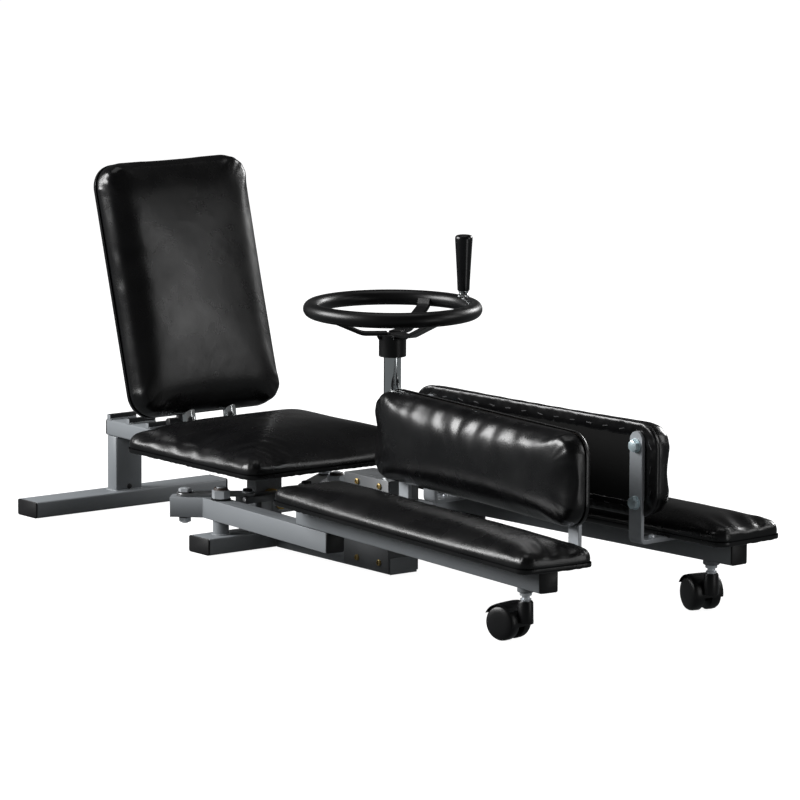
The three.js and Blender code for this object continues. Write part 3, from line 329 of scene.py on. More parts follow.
sides = {"left": 1, "right": -1}
pivot_x, pivot_y, leg_splay = 413, 108, math.radians(4.37)
tube_half, bead_half, foot_top, foot_low, foot_high = 25, 22, 25, 3, 22
beam_underside, stop_root, stop_places = 110, 135.4, (5, 56, 107, 158)
rear_post_face, front_post_faces = 25, (363, 388)
frame_runs = [ring_round(0, rear_post_face, tube_half, foot_top),
              [(rear_post_face, -bead_half, beam_underside), (rear_post_face, bead_half, beam_underside)],
              ring_round(*front_post_faces, bead_half, beam_underside)]
for x, half in ((388, 24), (438, 22)):
    frame_runs += [[(x, y, foot_low), (x, y, foot_high)] for y in (-tube_half, tube_half)]
    frame_runs.append([(x, -half, foot_top), (x, half, foot_top)])
frame_runs += [[(x + way * 4.6, -23, stop_root), (x + way * 4.6, 23, stop_root)]
               for x in stop_places for way in (1, -1)]
weld("frame_welds", "frame", frame_runs, 0.0019)


def leg_place(side, unit=1.0):
    """A leg's own place: its pivot on the floor, turned outward by the splay."""
    return (Matrix.Translation(Vector((pivot_x, side * pivot_y, 0)) * unit)
            @ Matrix.Rotation(side * leg_splay, 4, "Z"))


arm_half, arm_bend, bend_lean, arm_low, arm_high = 15.0, -34.0, 7.0, 47.3, 76.7
for name, side in sides.items():
    inner, outer = (arm_bend - bend_lean, side * arm_half), (arm_bend + bend_lean, -side * arm_half)
    corners = [leg_place(side) @ Vector((*spot, z)) for spot, z in (
        (inner, arm_low), (inner, arm_high), (outer, arm_high), (outer, arm_low))]
    weld(f"arm_weld_{name}", f"leg_{name}", [[*corners, corners[0]]], 0.0013)


# ---- End caps ----------------------------------------------------------------------------------
# Injection-moulded black plugs close the open tube ends. Their visible plate has rounded edges and
# a fine spark-eroded texture.
moulded_black = finish("moulded_black", (0.005, 0.005, 0.0055), 0.45, specular=0.35, uneven=0.25,
                       bump_scale=1600.0, bump_height=0.25)
cap_edge = 0.0009
for node in ("rear_foot_cap_left", "rear_foot_cap_right", "main_beam_cap", "front_foot_cap_left",
             "front_foot_cap_right", "arm_cap_left", "arm_cap_right", "leg_tube_cap_left",
             "leg_tube_cap_right"):
    dress(node, moulded_black, cap_edge)


# ---- Upholstered pads --------------------------------------------------------------------------
# Each pad is a plywood board with foam, covered in black soft-grain vinyl that is pulled over the
# edge and stapled behind. The cover is inflated by a cloth simulation with its lower rim held, then
# gets the soft ripples and corner tucks that the pull leaves. A thin cloth closes the back.
vinyl = bpy.data.materials.new("black_vinyl")
tree = node_tree(vinyl)
shader, at = patchy(tree, (0.0024, 0.0024, 0.0027), 0.28, 0.3, 0.05, (0.3, 0.7), Scale=14.0, Detail=4.0,
                    Roughness=0.55)
shader.inputs["Specular IOR Level"].default_value = 0.42
pebbles = add_node(tree, "ShaderNodeTexVoronoi", Scale=620.0, feature="SMOOTH_F1")
fine = add_node(tree, "ShaderNodeBump", Strength=0.14, Distance=0.0006)
lumps = add_node(tree, "ShaderNodeTexNoise", Scale=20.0, Detail=2.0)
broad = add_node(tree, "ShaderNodeBump", Strength=0.25, Distance=0.0025)
wire(tree, (at, "Object", pebbles, "Vector"), (pebbles, "Distance", fine, "Height"),
     (at, "Object", lumps, "Vector"), (lumps, "Fac", broad, "Height"), (fine, "Normal", broad, "Normal"),
     (broad, "Normal", shader, "Normal"))
board_cloth = finish("black_board_cloth", (0.004, 0.004, 0.004), 0.9, specular=0.15, uneven=0.35,
                     tone_scale=40.0, bump_scale=1400.0, bump_height=0.5)
ply = finish("stained_plywood", (0.03, 0.022, 0.016), 0.7, uneven=0.4, tone_scale=60.0)
staple_wire = finish("staple_wire", (0.14, 0.14, 0.145), 0.4, metallic=1.0, uneven=0.2)
for node in ("seat_board", "back_board", "leg_board_left", "leg_board_right", "side_board_left",
             "side_board_right"):
    dress(node, ply)


def pad_line(length, width, corner, inset, draw, step=7.0):
    """A rounded rectangle in the plan, in millimetres, with sides that draw in between the corners."""
    line = []
    for turn, (sx, sy) in enumerate(((1, 1), (-1, 1), (-1, -1), (1, -1))):
        centre = Vector((sx * (length / 2 - corner), sy * (width / 2 - corner)))
        run = (length, width)[turn % 2] - 2 * corner
        arc = max(6, round(corner * math.pi / 2 / step))
        for i in range(arc + 1):
            angle = math.pi / 2 * (turn + i / arc)
            line.append(centre + Vector((math.cos(angle), math.sin(angle))) * (corner - inset))
        out = Vector((math.cos(math.pi / 2 * (turn + 1)), math.sin(math.pi / 2 * (turn + 1))))
        along = Vector((-out.y, out.x))
        count = max(2, round(run / step))
        for i in range(1, count):
            share = i / count
            pull = draw * math.sin(math.pi * share)
            line.append(centre + along * run * share + out * (corner - inset - pull))
    return line


def lofted(rings, close_ends=True):
    """Skins rings of equal count, as points and faces."""
    faces, count = [], len(rings[0])
    for r in range(len(rings) - 1):
        for i in range(count):
            j = (i + 1) % count
            faces.append((r * count + i, r * count + j, (r + 1) * count + j, (r + 1) * count + i))
    if close_ends:
        faces.append(tuple(reversed(range(count))))
        faces.append(tuple(range((len(rings) - 1) * count, len(rings) * count)))
    return [point for ring in rings for point in ring], faces


staple_group, entry = open_group("staples", Pitch=0.024, Crown=(0.010, 0.0011, 0.0006))
run = add_node(staple_group, "GeometryNodeMeshToCurve")
steps = add_node(staple_group, "GeometryNodeResampleCurve", mode="LENGTH")
wire_bar = add_node(staple_group, "GeometryNodeMeshCube")
tangent = add_node(staple_group, "GeometryNodeInputTangent")
turn_to = add_node(staple_group, "FunctionNodeAlignEulerToVector", axis="X")
tilt = add_node(staple_group, "FunctionNodeRandomValue", data_type="FLOAT_VECTOR", Seed=7)
tilt.inputs[0].default_value, tilt.inputs[1].default_value = (0, 0, -0.25), (0, 0, 0.25)
askew = add_node(staple_group, "FunctionNodeRotateEuler")
put = add_node(staple_group, "GeometryNodeInstanceOnPoints")
wire(staple_group, (entry, "Geometry", run, "Mesh"), (run, "Curve", steps, "Curve"),
     (entry, "Pitch", steps, "Length"), (entry, "Crown", wire_bar, "Size"),
     (tangent, "Tangent", turn_to, "Vector"),
     (turn_to, "Rotation", askew, "Rotation"), (tilt, 0, askew, "Rotate By"), (steps, "Curve", put, "Points"),
     (wire_bar, "Mesh", put, "Instance"), (askew, "Rotation", put, "Rotation"))
close_group(staple_group, entry, put, "Instances")

board_depth, hold_up_to, voxel, most_swell = 12.0, 13.0, 0.0045, 0.004
face_depth, face_border, face_blend = 4, 14, 12


def inflate(piece):
    """Swells the cover by cloth simulation, its rim held, and limits how far each point may move."""
    held = piece.vertex_groups.new(name="rim")
    held.add([v.index for v in piece.data.vertices if v.co.z < hold_up_to * MM], 1.0, "ADD")
    before = [v.co.copy() for v in piece.data.vertices]
    cloth = piece.modifiers.new("cloth", "CLOTH")
    cloth.settings.quality = 5
    cloth.settings.mass = 0.4
    cloth.settings.tension_stiffness = cloth.settings.compression_stiffness = 25
    cloth.settings.bending_stiffness = 2.0
    cloth.settings.use_pressure = True
    cloth.settings.uniform_pressure_force = 3.5
    cloth.settings.vertex_group_mass = "rim"
    cloth.settings.effector_weights.gravity = 0
    cloth.collision_settings.use_collision = False
    cloth.point_cache.frame_start, cloth.point_cache.frame_end = 1, 20
    for number in range(1, 21):
        scene.frame_set(number)
    keep_shape(piece)
    scene.frame_set(1)
    for vertex, old in zip(piece.data.vertices, before):
        moved = vertex.co - old
        if moved.length > most_swell:
            vertex.co = old + moved * (most_swell / moved.length)
    piece.vertex_groups.clear()


def smoothed(piece, iterations, group=""):
    smooth = piece.modifiers.new("smoothed", "SMOOTH")
    smooth.factor, smooth.iterations, smooth.vertex_group = 0.5, iterations, group


def pulled_push(x, y, z, plan, seed, ripples, unrest):
    """How far the pull lifts the cover at a point: waves, corner tucks and a slight unrest."""
    push = 0.0
    for (cx, cy), reach, (dx, dy), wavelength, depth in ripples:
        away = math.hypot((x - cx) / reach[0], (y - cy) / reach[1])
        if away < 1:
            phase = (x * dx + y * dy) / wavelength * 2 * math.pi
            wander = 2.4 * noise.noise(Vector((x * 0.02 + seed, y * 0.02, 0)))
            push += depth * (1 - away * away) ** 2 * math.sin(phase + wander)
    length, width, corner = plan
    along, across = abs(x) - length / 2, abs(y) - width / 2
    near_corner = max(0.0, 1 - math.hypot(along + 6, across + 6) / (corner * 0.9 + 14))
    around = math.atan2(across + corner * 1.3, along + corner * 1.3)
    push += 0.45 * near_corner * math.sin(
        around * 17 + seed * 3 + math.copysign(1, x) + 2 * math.copysign(1, y))
    return push + unrest * noise.noise(Vector((x * 0.035 + seed, y * 0.035, z * 0.05)))


def make_pad(name, plan, crown, profile, place, body, replaced, seed, ripples, draw, unrest=0.2):
    """profile lists [inset, height] of the cover above the board's back; ripples are soft waves that
    the pull leaves: (centre, reach, direction, wavelength, depth), all in millimetres in the plan."""
    rings = [[(p.x, p.y, z) for p in pad_line(*plan, inset, draw * min(1, z / board_depth))]
             for inset, z in profile]
    top, shoulder = profile[-1][1], rings[-1]
    for share in (0.95, 0.88, 0.78, 0.66, 0.52, 0.36, 0.2, 0.08):
        rise = crown * (1 - share ** 2.4)
        rings.append([(x * share, y * share, top + rise) for x, y, z in shoulder])
    points, faces = lofted([[Vector(p) * MM for p in ring] for ring in rings])
    cover = link_piece(f"{name}_cover", plain_mesh(name, points, (), faces), vinyl)
    remesh = cover.modifiers.new("voxels", "REMESH")
    remesh.mode, remesh.voxel_size = "VOXEL", voxel
    smoothed(cover, 4)
    keep_shape(cover)
    inflate(cover)
    open_face = cover.vertex_groups.new(name="face")
    for vertex in cover.data.vertices:
        x, y, z = vertex.co / MM
        inward = min(plan[0] / 2 - abs(x), plan[1] / 2 - abs(y)) - face_border
        if z > top - face_depth and inward > 0:
            open_face.add([vertex.index], min(1.0, inward / face_blend), "REPLACE")
    smoothed(cover, 8)
    smoothed(cover, 40, "face")
    finer = cover.modifiers.new("finer", "SUBSURF")
    finer.levels = finer.render_levels = 1
    keep_shape(cover)
    outward = [vertex.normal.copy() for vertex in cover.data.vertices]
    for vertex, normal in zip(cover.data.vertices, outward):
        x, y, z = vertex.co / MM
        lift = max(0.0, min(1.0, (z - board_depth) / 10))
        vertex.co += normal * pulled_push(x, y, z, plan, seed, ripples, unrest) * lift * MM
        if z < 0.4:
            vertex.co.z = 0.0
    cover.data.transform(place)
    cover.data.shade_smooth()
    fit(cover, "black_vinyl", body, *replaced)

    margin, proud, turn_up = 21.0, 1.5, 5.0
    section = [(0.1, turn_up), (-0.5, 2.5), (0.2, -0.4), (1.6, -proud), (5.0, -proud - 0.3), (12.0, -proud),
               (margin - 1.5, -proud + 0.3), (margin, -0.2), (margin, 1.0)]
    rings = []
    for column, (inset, z) in enumerate(section):
        crease = 1.1 if 2 < column < 8 else 0.0
        rings.append([
            Vector((p.x, p.y,
                    z + crease * noise.noise(Vector((p.x * 0.12 + seed, p.y * 0.12, 5.0))) - 0.15)) * MM
            for p in pad_line(*plan, max(inset, 0), 0.0, 3.0)])
    points, faces = lofted(rings, close_ends=False)
    wrap = link_piece(f"{name}_wrap", plain_mesh(name, points, (), faces), vinyl)
    wrap.data.flip_normals()
    wrap.data.transform(place)
    fit(wrap, "black_vinyl", body)

    low = [Vector((p.x, p.y, -0.5)) * MM for p in pad_line(*plan, margin - 4, 0.0, 6.0)]
    points, faces = lofted([low, [p + Vector((0, 0, 0.0006)) for p in low]])
    back = link_piece(f"{name}_back_cloth", plain_mesh(name, points, (), faces), board_cloth)
    back.data.transform(place)
    back.data.shade_flat()
    fit(back, "pad_board", body)

    line = [Vector((p.x, p.y, -proud - 0.35)) * MM for p in pad_line(*plan, margin * 0.6, 0.0, 8.0)]
    edges = [(i, (i + 1) % len(line)) for i in range(len(line))]
    staples = link_piece(f"{name}_staples", plain_mesh(name, line, edges), staple_wire)
    run_nodes(staples, staple_group, Pitch=0.034, Material=staple_wire)
    staples.data.transform(place)
    staples.data.shade_flat()
    fit(staples, "zinc_steel", body)


leg_frame = {name: leg_place(side, MM) for name, side in sides.items()}
back_frame_place = Matrix.Translation((0.2381, 0, 0.183)) @ Matrix.Rotation(-math.radians(15.66), 4, "Y")
up_the_back = Matrix(((0, 0, 1, 0), (1, 0, 0, 0), (0, 1, 0, 0), (0, 0, 0, 1)))


# ---- Seat --------------------------------------------------------------------------------------
# A broad pad with thick soft foam and a full crown, screwed to the main beam. The pull of the cover
# leaves long shallow waves on its right shoulder and a tuck at each front corner.
make_pad(
    "seat", (324, 340, 21), 23,
    [(3, 0), (0.6, 1.5), (0, 6), (0, 12), (1.5, 17), (5, 22), (11, 27), (19, 31)],
    Matrix.Translation((0.410, 0, 0.135)), "frame", ["seat_cushion"], seed=1.0,
    ripples=[((-10, -150), (140, 60), (1, 0.25), 52, 0.9), ((120, -120), (70, 70), (0.6, -0.8), 24, 0.6)],
    draw=4.0)


# ---- Back rest pad -----------------------------------------------------------------------------
# An upright pad with a nearly flat face, tight over its board, reclining with the chromed uprights.
make_pad(
    "back", (270, 389, 37), 7,
    [(2.5, 0), (0.4, 1.5), (0, 7), (0, 14), (0, 22), (0.8, 28), (3.6, 33), (9, 36.5)],
    back_frame_place @ up_the_back @ Matrix.Translation((0, 0.1893, -0.020)), "back_rest", ["back_cushion"],
    seed=2.0, ripples=[((-118, 40), (36, 160), (0.2, 1), 60, 0.5)], draw=1.5, unrest=0.1)


# ---- Leg rest pads -----------------------------------------------------------------------------
# Long narrow pads with thin foam, so the shoulder is sharp and catches the light along its length.
for name, side in sides.items():
    make_pad(
        f"leg_{name}", (644, 122, 17), 8,
        [(2.5, 0), (0.4, 1.5), (0, 6), (0, 11), (0.8, 15.5), (3, 20), (7, 24), (12, 26.5)],
        leg_frame[name] @ Matrix.Translation((0.552, 0, 0.113)), f"leg_{name}", [f"leg_cushion_{name}"],
        seed=3.0 + side, ripples=[((296, 0), (60, 70), (0.35, 1), 27, 0.9)], draw=2.0)


# ---- Side pads ---------------------------------------------------------------------------------
# Upright pads against the inside of the legs, padded face outward. Across their upper shoulder the
# cover is gathered into soft waves.
for name, side in sides.items():
    out = Matrix(((-side, 0, 0, 0), (0, 0, side, 0), (0, 1, 0, 0), (0, 0, 0, 1)))
    make_pad(
        f"side_{name}", (500, 134, 36), 6,
        [(2.5, 0), (0.4, 1.5), (0, 8), (0, 16), (0.6, 22.5), (2.6, 28.5), (6.5, 32.5), (12, 35)],
        leg_frame[name] @ Matrix.Translation((0.541, -side * 0.107, 0.2125)) @ out, f"leg_{name}",
        [f"side_cushion_{name}"], seed=6.0 + side,
        ripples=[((0, 52), (250, 42), (1, 0.12), 44, 0.8)], draw=1.5)


# ---- Pivot studs -------------------------------------------------------------------------------
# Turned posts welded to the front foot carry the arms: a grey post, a black washer on the arm and a
# zinc-plated lock nut with a nylon ring, above which the stud's end stands proud.
def full_turn(steps):
    return [2 * math.pi * i / steps for i in range(steps)]


def turned(rings, place=Matrix(), steps=48):
    """A round piece from (radius, height) pairs in millimetres about +Z, closed where a radius is 0."""
    points, faces, index = [], [], []
    for radius, z in rings:
        count = steps if radius else 1
        index.append([len(points) + i % count for i in range(steps)])
        points += [Vector((radius * math.cos(a), radius * math.sin(a), z)) * MM
                   for a in full_turn(steps)[:count]]
    for low, high in zip(index, index[1:]):
        for i in range(steps):
            j = (i + 1) % steps
            face = list(dict.fromkeys((low[i], low[j], high[j], high[i])))
            if len(face) > 2:
                faces.append(face)
    mesh = plain_mesh("turned", points, (), faces)
    mesh.transform(place)
    return mesh


def skinned(rings, place=Matrix(), ring_shaped=False):
    """Skins rings into one closed solid in its place, with its faces turned outward."""
    points, faces = lofted([*rings, rings[0]] if ring_shaped else rings, close_ends=not ring_shaped)
    mesh = plain_mesh("skinned", points, (), faces)
    mesh.transform(place)
    made = bmesh.new()
    made.from_mesh(mesh)
    bmesh.ops.remove_doubles(made, verts=made.verts, dist=1e-7)
    bmesh.ops.recalc_face_normals(made, faces=made.faces)
    made.to_mesh(mesh)
    made.free()
    return mesh


def hexagon(flats, z0, z1, place=Matrix(), both=False, bore=0.0, steps=48):
    """A hexagon head with its corners turned down at the top (and foot), bored where it is a nut."""
    top_radius, drop = flats / 2 * 0.96, math.tan(math.radians(28))
    outer = [(a, flats / 2 / math.cos((a + math.pi / 6) % (math.pi / 3) - math.pi / 6))
             for a in full_turn(steps)]
    rings = [[(min(top_radius, r), a, z0) for a, r in outer]] if both else []
    rings.append([(r, a, z0 + max(0, r - top_radius) * drop if both else z0) for a, r in outer])
    rings.append([(r, a, z1 - max(0, r - top_radius) * drop) for a, r in outer])
    rings.append([(top_radius * 0.995, a, z1) for a, r in outer])
    if bore:
        rings.append([(bore, a, z1) for a, r in outer])
    return skinned([[Vector((r * math.cos(a), r * math.sin(a), z)) * MM for r, a, z in ring]
                    for ring in rings], place)


def joined(name, parts, body, slot, *replaced):
    """Joins (mesh, material) parts into one piece."""
    materials = list(dict.fromkeys(material for _, material in parts))
    made = bmesh.new()
    for mesh, material in parts:
        start = len(made.faces)
        made.from_mesh(mesh)
        made.faces.ensure_lookup_table()
        for face in made.faces[start:]:
            face.material_index = materials.index(material)
        bpy.data.meshes.remove(mesh)
    whole = bpy.data.meshes.new(name)
    made.to_mesh(whole)
    made.free()
    piece = link_piece(name, whole, *materials)
    whole.set_sharp_from_angle(angle=math.radians(35))
    fit(piece, slot, body, *replaced)


zinc = finish("zinc_plate", (0.66, 0.69, 0.72), 0.3, metallic=0.6, uneven=0.12, tone_scale=60.0)
black_steel = finish("blackened_steel", (0.02, 0.02, 0.021), 0.34, metallic=0.6, uneven=0.3)
nylon = finish("nylon_ring", (0.045, 0.030, 0.024), 0.5, uneven=0.2)
for name, side in sides.items():
    spot = Matrix.Translation(Vector((pivot_x, side * pivot_y, 0)) * MM)
    threads = [(8 - 0.55 * (i % 2), 46 + i * 0.8) for i in range(62)]
    joined(f"pivot_{name}", [
        (turned([(0, 25), (11.6, 25), (12, 25.4), (12, 46.3), (11.6, 46.7), (0, 46.7)], spot), grey_coat),
        (turned([(8.2, 77.3), (14.7, 77.3), (15, 77.6), (15, 79.0), (14.7, 79.3), (8.2, 79.3)], spot),
         black_steel),
        (hexagon(24, 79.3, 92.2, spot @ Matrix.Rotation(math.radians(12), 4, "Z"), both=True, bore=9), zinc),
        (turned([(10.8, 91.8), (10.6, 94.4), (9.8, 95.6), (8.4, 95.9), (7.9, 95.2), (7.9, 91)], spot), nylon),
        (turned([(0, 46), *threads, (7.2, 96.2), (6.4, 96.8), (0, 96.8)], spot, 32), zinc),
    ], "frame", "zinc_steel", f"pivot_stud_{name}")
    circle = [(pivot_x + 12.6 * math.cos(a), side * pivot_y + 12.6 * math.sin(a), 25.3)
              for a in full_turn(24)]
    weld(f"pivot_weld_{name}", "frame", [[*circle, circle[0]]], 0.0020)


# ---- Gear box ----------------------------------------------------------------------------------
# A folded and coated steel cover with two flat side plates, each held by four yellow-zinc pan head
# screws with a crossed recess. A plug closes the post's bore, a thin plate the lower beam's end.
# The cover and its side plates have the frame's grey coat, but their base colour is set much darker as
# painted shade for the shadow they sit in among the pads.
box_painted_shade = finish("gear_box_coat", (0.090, 0.094, 0.098), 0.42, uneven=0.08)
for node in ("gear_box_cover", "gear_box_side_left", "gear_box_side_right"):
    dress(node, box_painted_shade, 0.0007)
yellow_zinc = finish("yellow_zinc", (0.34, 0.25, 0.10), 0.42, metallic=0.8, uneven=0.2, tone_scale=80.0)

fastener_group, entry = open_group("fastener_rows", Fastener="object")
read = add_node(fastener_group, "GeometryNodeObjectInfo")
facing = add_node(fastener_group, "GeometryNodeInputNamedAttribute", data_type="FLOAT_VECTOR", Name="facing")
turn_to = add_node(fastener_group, "FunctionNodeAlignEulerToVector", axis="Z")
spin = add_node(fastener_group, "FunctionNodeRandomValue", data_type="FLOAT_VECTOR", Seed=11)
spin.inputs[0].default_value, spin.inputs[1].default_value = (0, 0, 0), (0, 0, 6.28)
loose = add_node(fastener_group, "FunctionNodeRotateEuler", space="LOCAL")
put = add_node(fastener_group, "GeometryNodeInstanceOnPoints")
wire(fastener_group, (entry, "Geometry", put, "Points"), (entry, "Fastener", read, "Object"),
     (read, "Geometry", put, "Instance"), (facing, "Attribute", turn_to, "Vector"),
     (turn_to, "Rotation", loose, "Rotation"), (spin, 0, loose, "Rotate By"),
     (loose, "Rotation", put, "Rotation"))
close_group(fastener_group, entry, put, "Instances")


def fasteners(name, body, pattern, material, spots):
    """Puts a fastener at each (place in metres, facing), as one piece."""
    mesh = plain_mesh(name, [place for place, _ in spots])
    mesh.attributes.new("facing", "FLOAT_VECTOR", "POINT")
    for item, (_, out) in zip(mesh.attributes["facing"].data, spots):
        item.vector = out
    piece = link_piece(name, mesh, material)
    source = bpy.data.objects.new("pattern", pattern)
    scene.collection.objects.link(source)
    run_nodes(piece, fastener_group, Fastener=source, Material=material)
    bpy.data.objects.remove(source)
    piece.data.shade_smooth()
    piece.data.set_sharp_from_angle(angle=math.radians(35))
    fit(piece, "zinc_steel", body)


def pan_head(radius, height, steps=48):
    """A pan head with a crossed recess: the top's rings dip wherever the cross lies."""
    slot_half, slot_reach, depth = 0.26 * radius, 0.62 * radius, 0.55 * height
    rings = [[(r * math.cos(a), r * math.sin(a), z) for a in full_turn(steps)]
             for r, z in ((radius, 0), (radius, height * 0.35), (radius * 0.93, height * 0.75))]
    for share in (0.82, 0.7, 0.6, 0.5, 0.4, 0.3, 0.2, 0.1, 0.02):
        spots = [(radius * share * math.cos(a), radius * share * math.sin(a)) for a in full_turn(steps)]
        dome = height * (1 - 0.25 * share ** 4)
        rings.append([
            (x, y, dome - (depth if min(abs(x), abs(y)) < slot_half
                           and max(abs(x), abs(y)) < slot_reach else 0)) for x, y in spots])
    return skinned([[Vector(p) * MM for p in ring] for ring in rings])


def flat_bar(outline, z0, z1, edge, place):
    """A flat bar cut to an outline in the plan, its long edges broken."""
    centre = sum((Vector(p) for p in outline), Vector((0, 0))) / len(outline)
    away = [Vector(p) - centre for p in outline]
    return skinned([[Vector((*(centre + a * (1 - inset / max(a.length, 1))), z)) * MM for a in away]
                    for inset, z in ((edge, z0), (0, z0 + edge), (0, z1 - edge), (edge, z1))], place)


along_x = Matrix(((0, 0, 1, 0), (0, 1, 0, 0), (-1, 0, 0, 0), (0, 0, 0, 1)))
plug_rings = [(0, 24.6), (4.2, 24.6), (4.2, 25.4), (3.6, 26.2), (2.0, 26.6), (0, 26.7)]
plug_place = Matrix.Translation((0, 0, 30.5 * MM)) @ along_x
joined("post_plug", [(turned(plug_rings, plug_place, 32), moulded_black)], "frame", "black_plastic")
front_edge, plate_low, plate_high, plate_half = 715.0, 0.3, 24.9, 24.7
end_plate = flat_bar([(plate_low, -plate_half), (plate_high, -plate_half), (plate_high, plate_half),
                      (plate_low, plate_half)], 0, 1.2, 0.4,
                     Matrix.Translation((front_edge * MM, 0, plate_high * MM + plate_low * MM)) @ along_x)
joined("beam_end_plate", [(end_plate, grey_coat)], "frame", "grey_powder_coat")
screw_columns, screw_rows, box_face = (641.6, 694.2), (16.0, 129.2), 28.0
fasteners("gear_box_screws", "frame", pan_head(4.6, 3.0), yellow_zinc, [
    (Vector((x, side * box_face, z)) * MM, (0, side, 0))
    for side in (1, -1) for x in screw_columns for z in screw_rows])


# ---- Lead screw --------------------------------------------------------------------------------
# A trapezoidal thread of 16 mm, 4 mm lead, in bright steel, greased. A node group sweeps the thread
# along a helix on the core.
bright_steel = finish("bright_steel", (0.42, 0.42, 0.42), 0.3, metallic=1.0, uneven=0.2, tone_scale=50.0)
flat_steel = finish("rolled_steel", (0.26, 0.265, 0.27), 0.38, metallic=0.9, uneven=0.25, tone_scale=35.0)
brass_metal = finish("turned_brass", (0.45, 0.31, 0.10), 0.3, metallic=1.0, uneven=0.2, tone_scale=45.0)

thread_group, entry = open_group("screw_thread", Turns=10.0, Radius=0.007, Length=0.1, Ridge=0.0009)
helix = add_node(thread_group, "GeometryNodeCurveSpiral", Resolution=24)
ridge = add_node(thread_group, "GeometryNodeCurvePrimitiveCircle", Resolution=4)
sweep = add_node(thread_group, "GeometryNodeCurveToMesh", Fill_Caps=True)
both = add_node(thread_group, "GeometryNodeJoinGeometry")
wire(thread_group, (entry, "Turns", helix, "Rotations"), (entry, "Radius", helix, "Start Radius"),
     (entry, "Radius", helix, "End Radius"), (entry, "Length", helix, "Height"),
     (entry, "Ridge", ridge, "Radius"), (helix, "Curve", sweep, "Curve"),
     (ridge, "Curve", sweep, "Profile Curve"), (sweep, "Mesh", both, "Geometry"),
     (entry, "Geometry", both, "Geometry"))
close_group(thread_group, entry, both, "Geometry")

thread_start, thread_end, thread_lead, core_radius, screw_height = 388.6, 608.4, 4.0, 7.2, 64
core = turned([
    (0, 356.4), (9.4, 356.4), (10, 357), (10, 361.8), (9.4, 362.4), (6, 362.4), (6, thread_start),
    (core_radius, 389.4), (core_radius, 607.6), (6, thread_end), (6, 673.3), (0, 673.3)],
    Matrix.Translation((0, 0, -thread_start * MM)), 32)
screw = link_piece("lead_screw_thread", core, bright_steel)
thread_length = thread_end - thread_start
run_nodes(screw, thread_group, Turns=thread_length / thread_lead, Radius=core_radius * MM,
          Length=thread_length * MM, Ridge=1.0 * MM, Material=bright_steel)
screw_axis = Matrix.Translation((0, 0, screw_height * MM)) @ along_x
screw.data.transform(screw_axis @ Matrix.Translation((0, 0, thread_start * MM)))
screw.data.shade_smooth()
screw.data.set_sharp_from_angle(angle=math.radians(40))
fit(screw, "zinc_steel", "lead_screw", "lead_screw")
for node in ("bevel_gear", "bevel_pinion"):
    dress(node, flat_steel)


# ---- Carriage, nut and links -------------------------------------------------------------------
# The lead screw's brass nut sits in a plain steel block whose bar is bolted to two flat links. The
# links' bolts at the carriage are blackened, those at the arms are zinc plated over black washers.
dress("carriage", flat_steel, 0.0008)
joined("brass_nut", [(turned([
    (8.3, 389.6), (15.6, 389.6), (16, 390), (16, 394.2), (15.6, 394.6), (12, 394.6), (12, 420.4),
    (11.8, 420.6), (8.3, 420.6)], screw_axis), brass_metal)], "carriage", "brass", "screw_nut")


def slot_outline(length, width, steps=12):
    """A flat link's outline: two half rounds, one at 0 and one at its length."""
    arcs = [(x, math.radians(start + 180 * i / steps)) for x, start in ((length, -90), (0, 90))
            for i in range(steps + 1)]
    return [(x + width / 2 * math.cos(a), width / 2 * math.sin(a)) for x, a in arcs]


carriage_bolt, link_foot, link_thick, link_width = (407.6, 55.0), 77.3, 5, 25
tail_bolt, tail_turn = 36, math.radians(50.4)
for name, side in sides.items():
    start = leg_frame[name] @ Vector(((arm_bend - tail_bolt * math.cos(tail_turn)) * MM,
                                      side * tail_bolt * math.sin(tail_turn) * MM, 0)) / MM
    end = Vector((carriage_bolt[0], side * carriage_bolt[1], 0))
    reach = (end - start).length
    swing = math.atan2(end.y - start.y, end.x - start.x)
    at_arm = Matrix.Translation(Vector((start.x, start.y, 0)) * MM) @ Matrix.Rotation(swing, 4, "Z")
    at_end = at_arm @ Matrix.Translation((reach * MM, 0, 0))
    joined(f"link_bar_{name}", [
        (flat_bar(slot_outline(reach, link_width), link_foot, link_foot + link_thick, 0.5, at_arm),
         flat_steel),
        (turned([(5.4, 82.3), (10.2, 82.3), (10.4, 82.5), (10.4, 83.8), (5.4, 83.8)], at_arm), black_steel),
        (hexagon(17, 83.8, 88.7, at_arm @ Matrix.Rotation(0.35, 4, "Z")), zinc),
        (turned([(0, 36.5), (4.6, 36.5), (5, 37), (5, 84), (0, 84)], at_arm, 24), zinc),
        (turned([(5.4, 45.2), (10.4, 45.2), (10.4, 46.7), (5.4, 46.7)], at_arm), black_steel),
        (hexagon(17, 38.3, 45.2, at_arm @ Matrix.Rotation(0.1, 4, "Z"), both=True), zinc),
        (turned([(4.4, 82.3), (8.2, 82.3), (8.4, 82.5), (8.4, 83.6), (4.4, 83.6)], at_end), zinc),
        (hexagon(13, 83.6, 87.6, at_end @ Matrix.Rotation(0.2, 4, "Z")), black_steel),
    ], f"link_{name}", "flat_steel", f"link_{name}")


# ---- Hand wheel --------------------------------------------------------------------------------
# A steel ring of round tube in black semi-gloss coat, on three flat spokes that leave the hub level
# and rise to the ring. The hub is bored for the chromed post; welds run round the spokes' roots.
wheel_black = finish("wheel_black", (0.0025, 0.0025, 0.0028), 0.36, specular=0.36, uneven=0.2,
                     bump_height=0.08)
chrome = finish("chrome_plate", (0.82, 0.85, 0.86), 0.09, metallic=1.0, uneven=0.05, gloss_uneven=0.03,
                bump_height=0.03)
wheel_x, rim_z, rim_radius, rim_tube = 687.3, 387.0, 119.1, 11.35
hub_spot = Matrix.Translation((wheel_x * MM, 0, 0))


def arc_rings(profile, angles):
    """A closed (radius, height) profile at each angle about +Z."""
    return [[Vector((r * math.cos(a), r * math.sin(a), z)) * MM for r, z in profile] for a in angles]


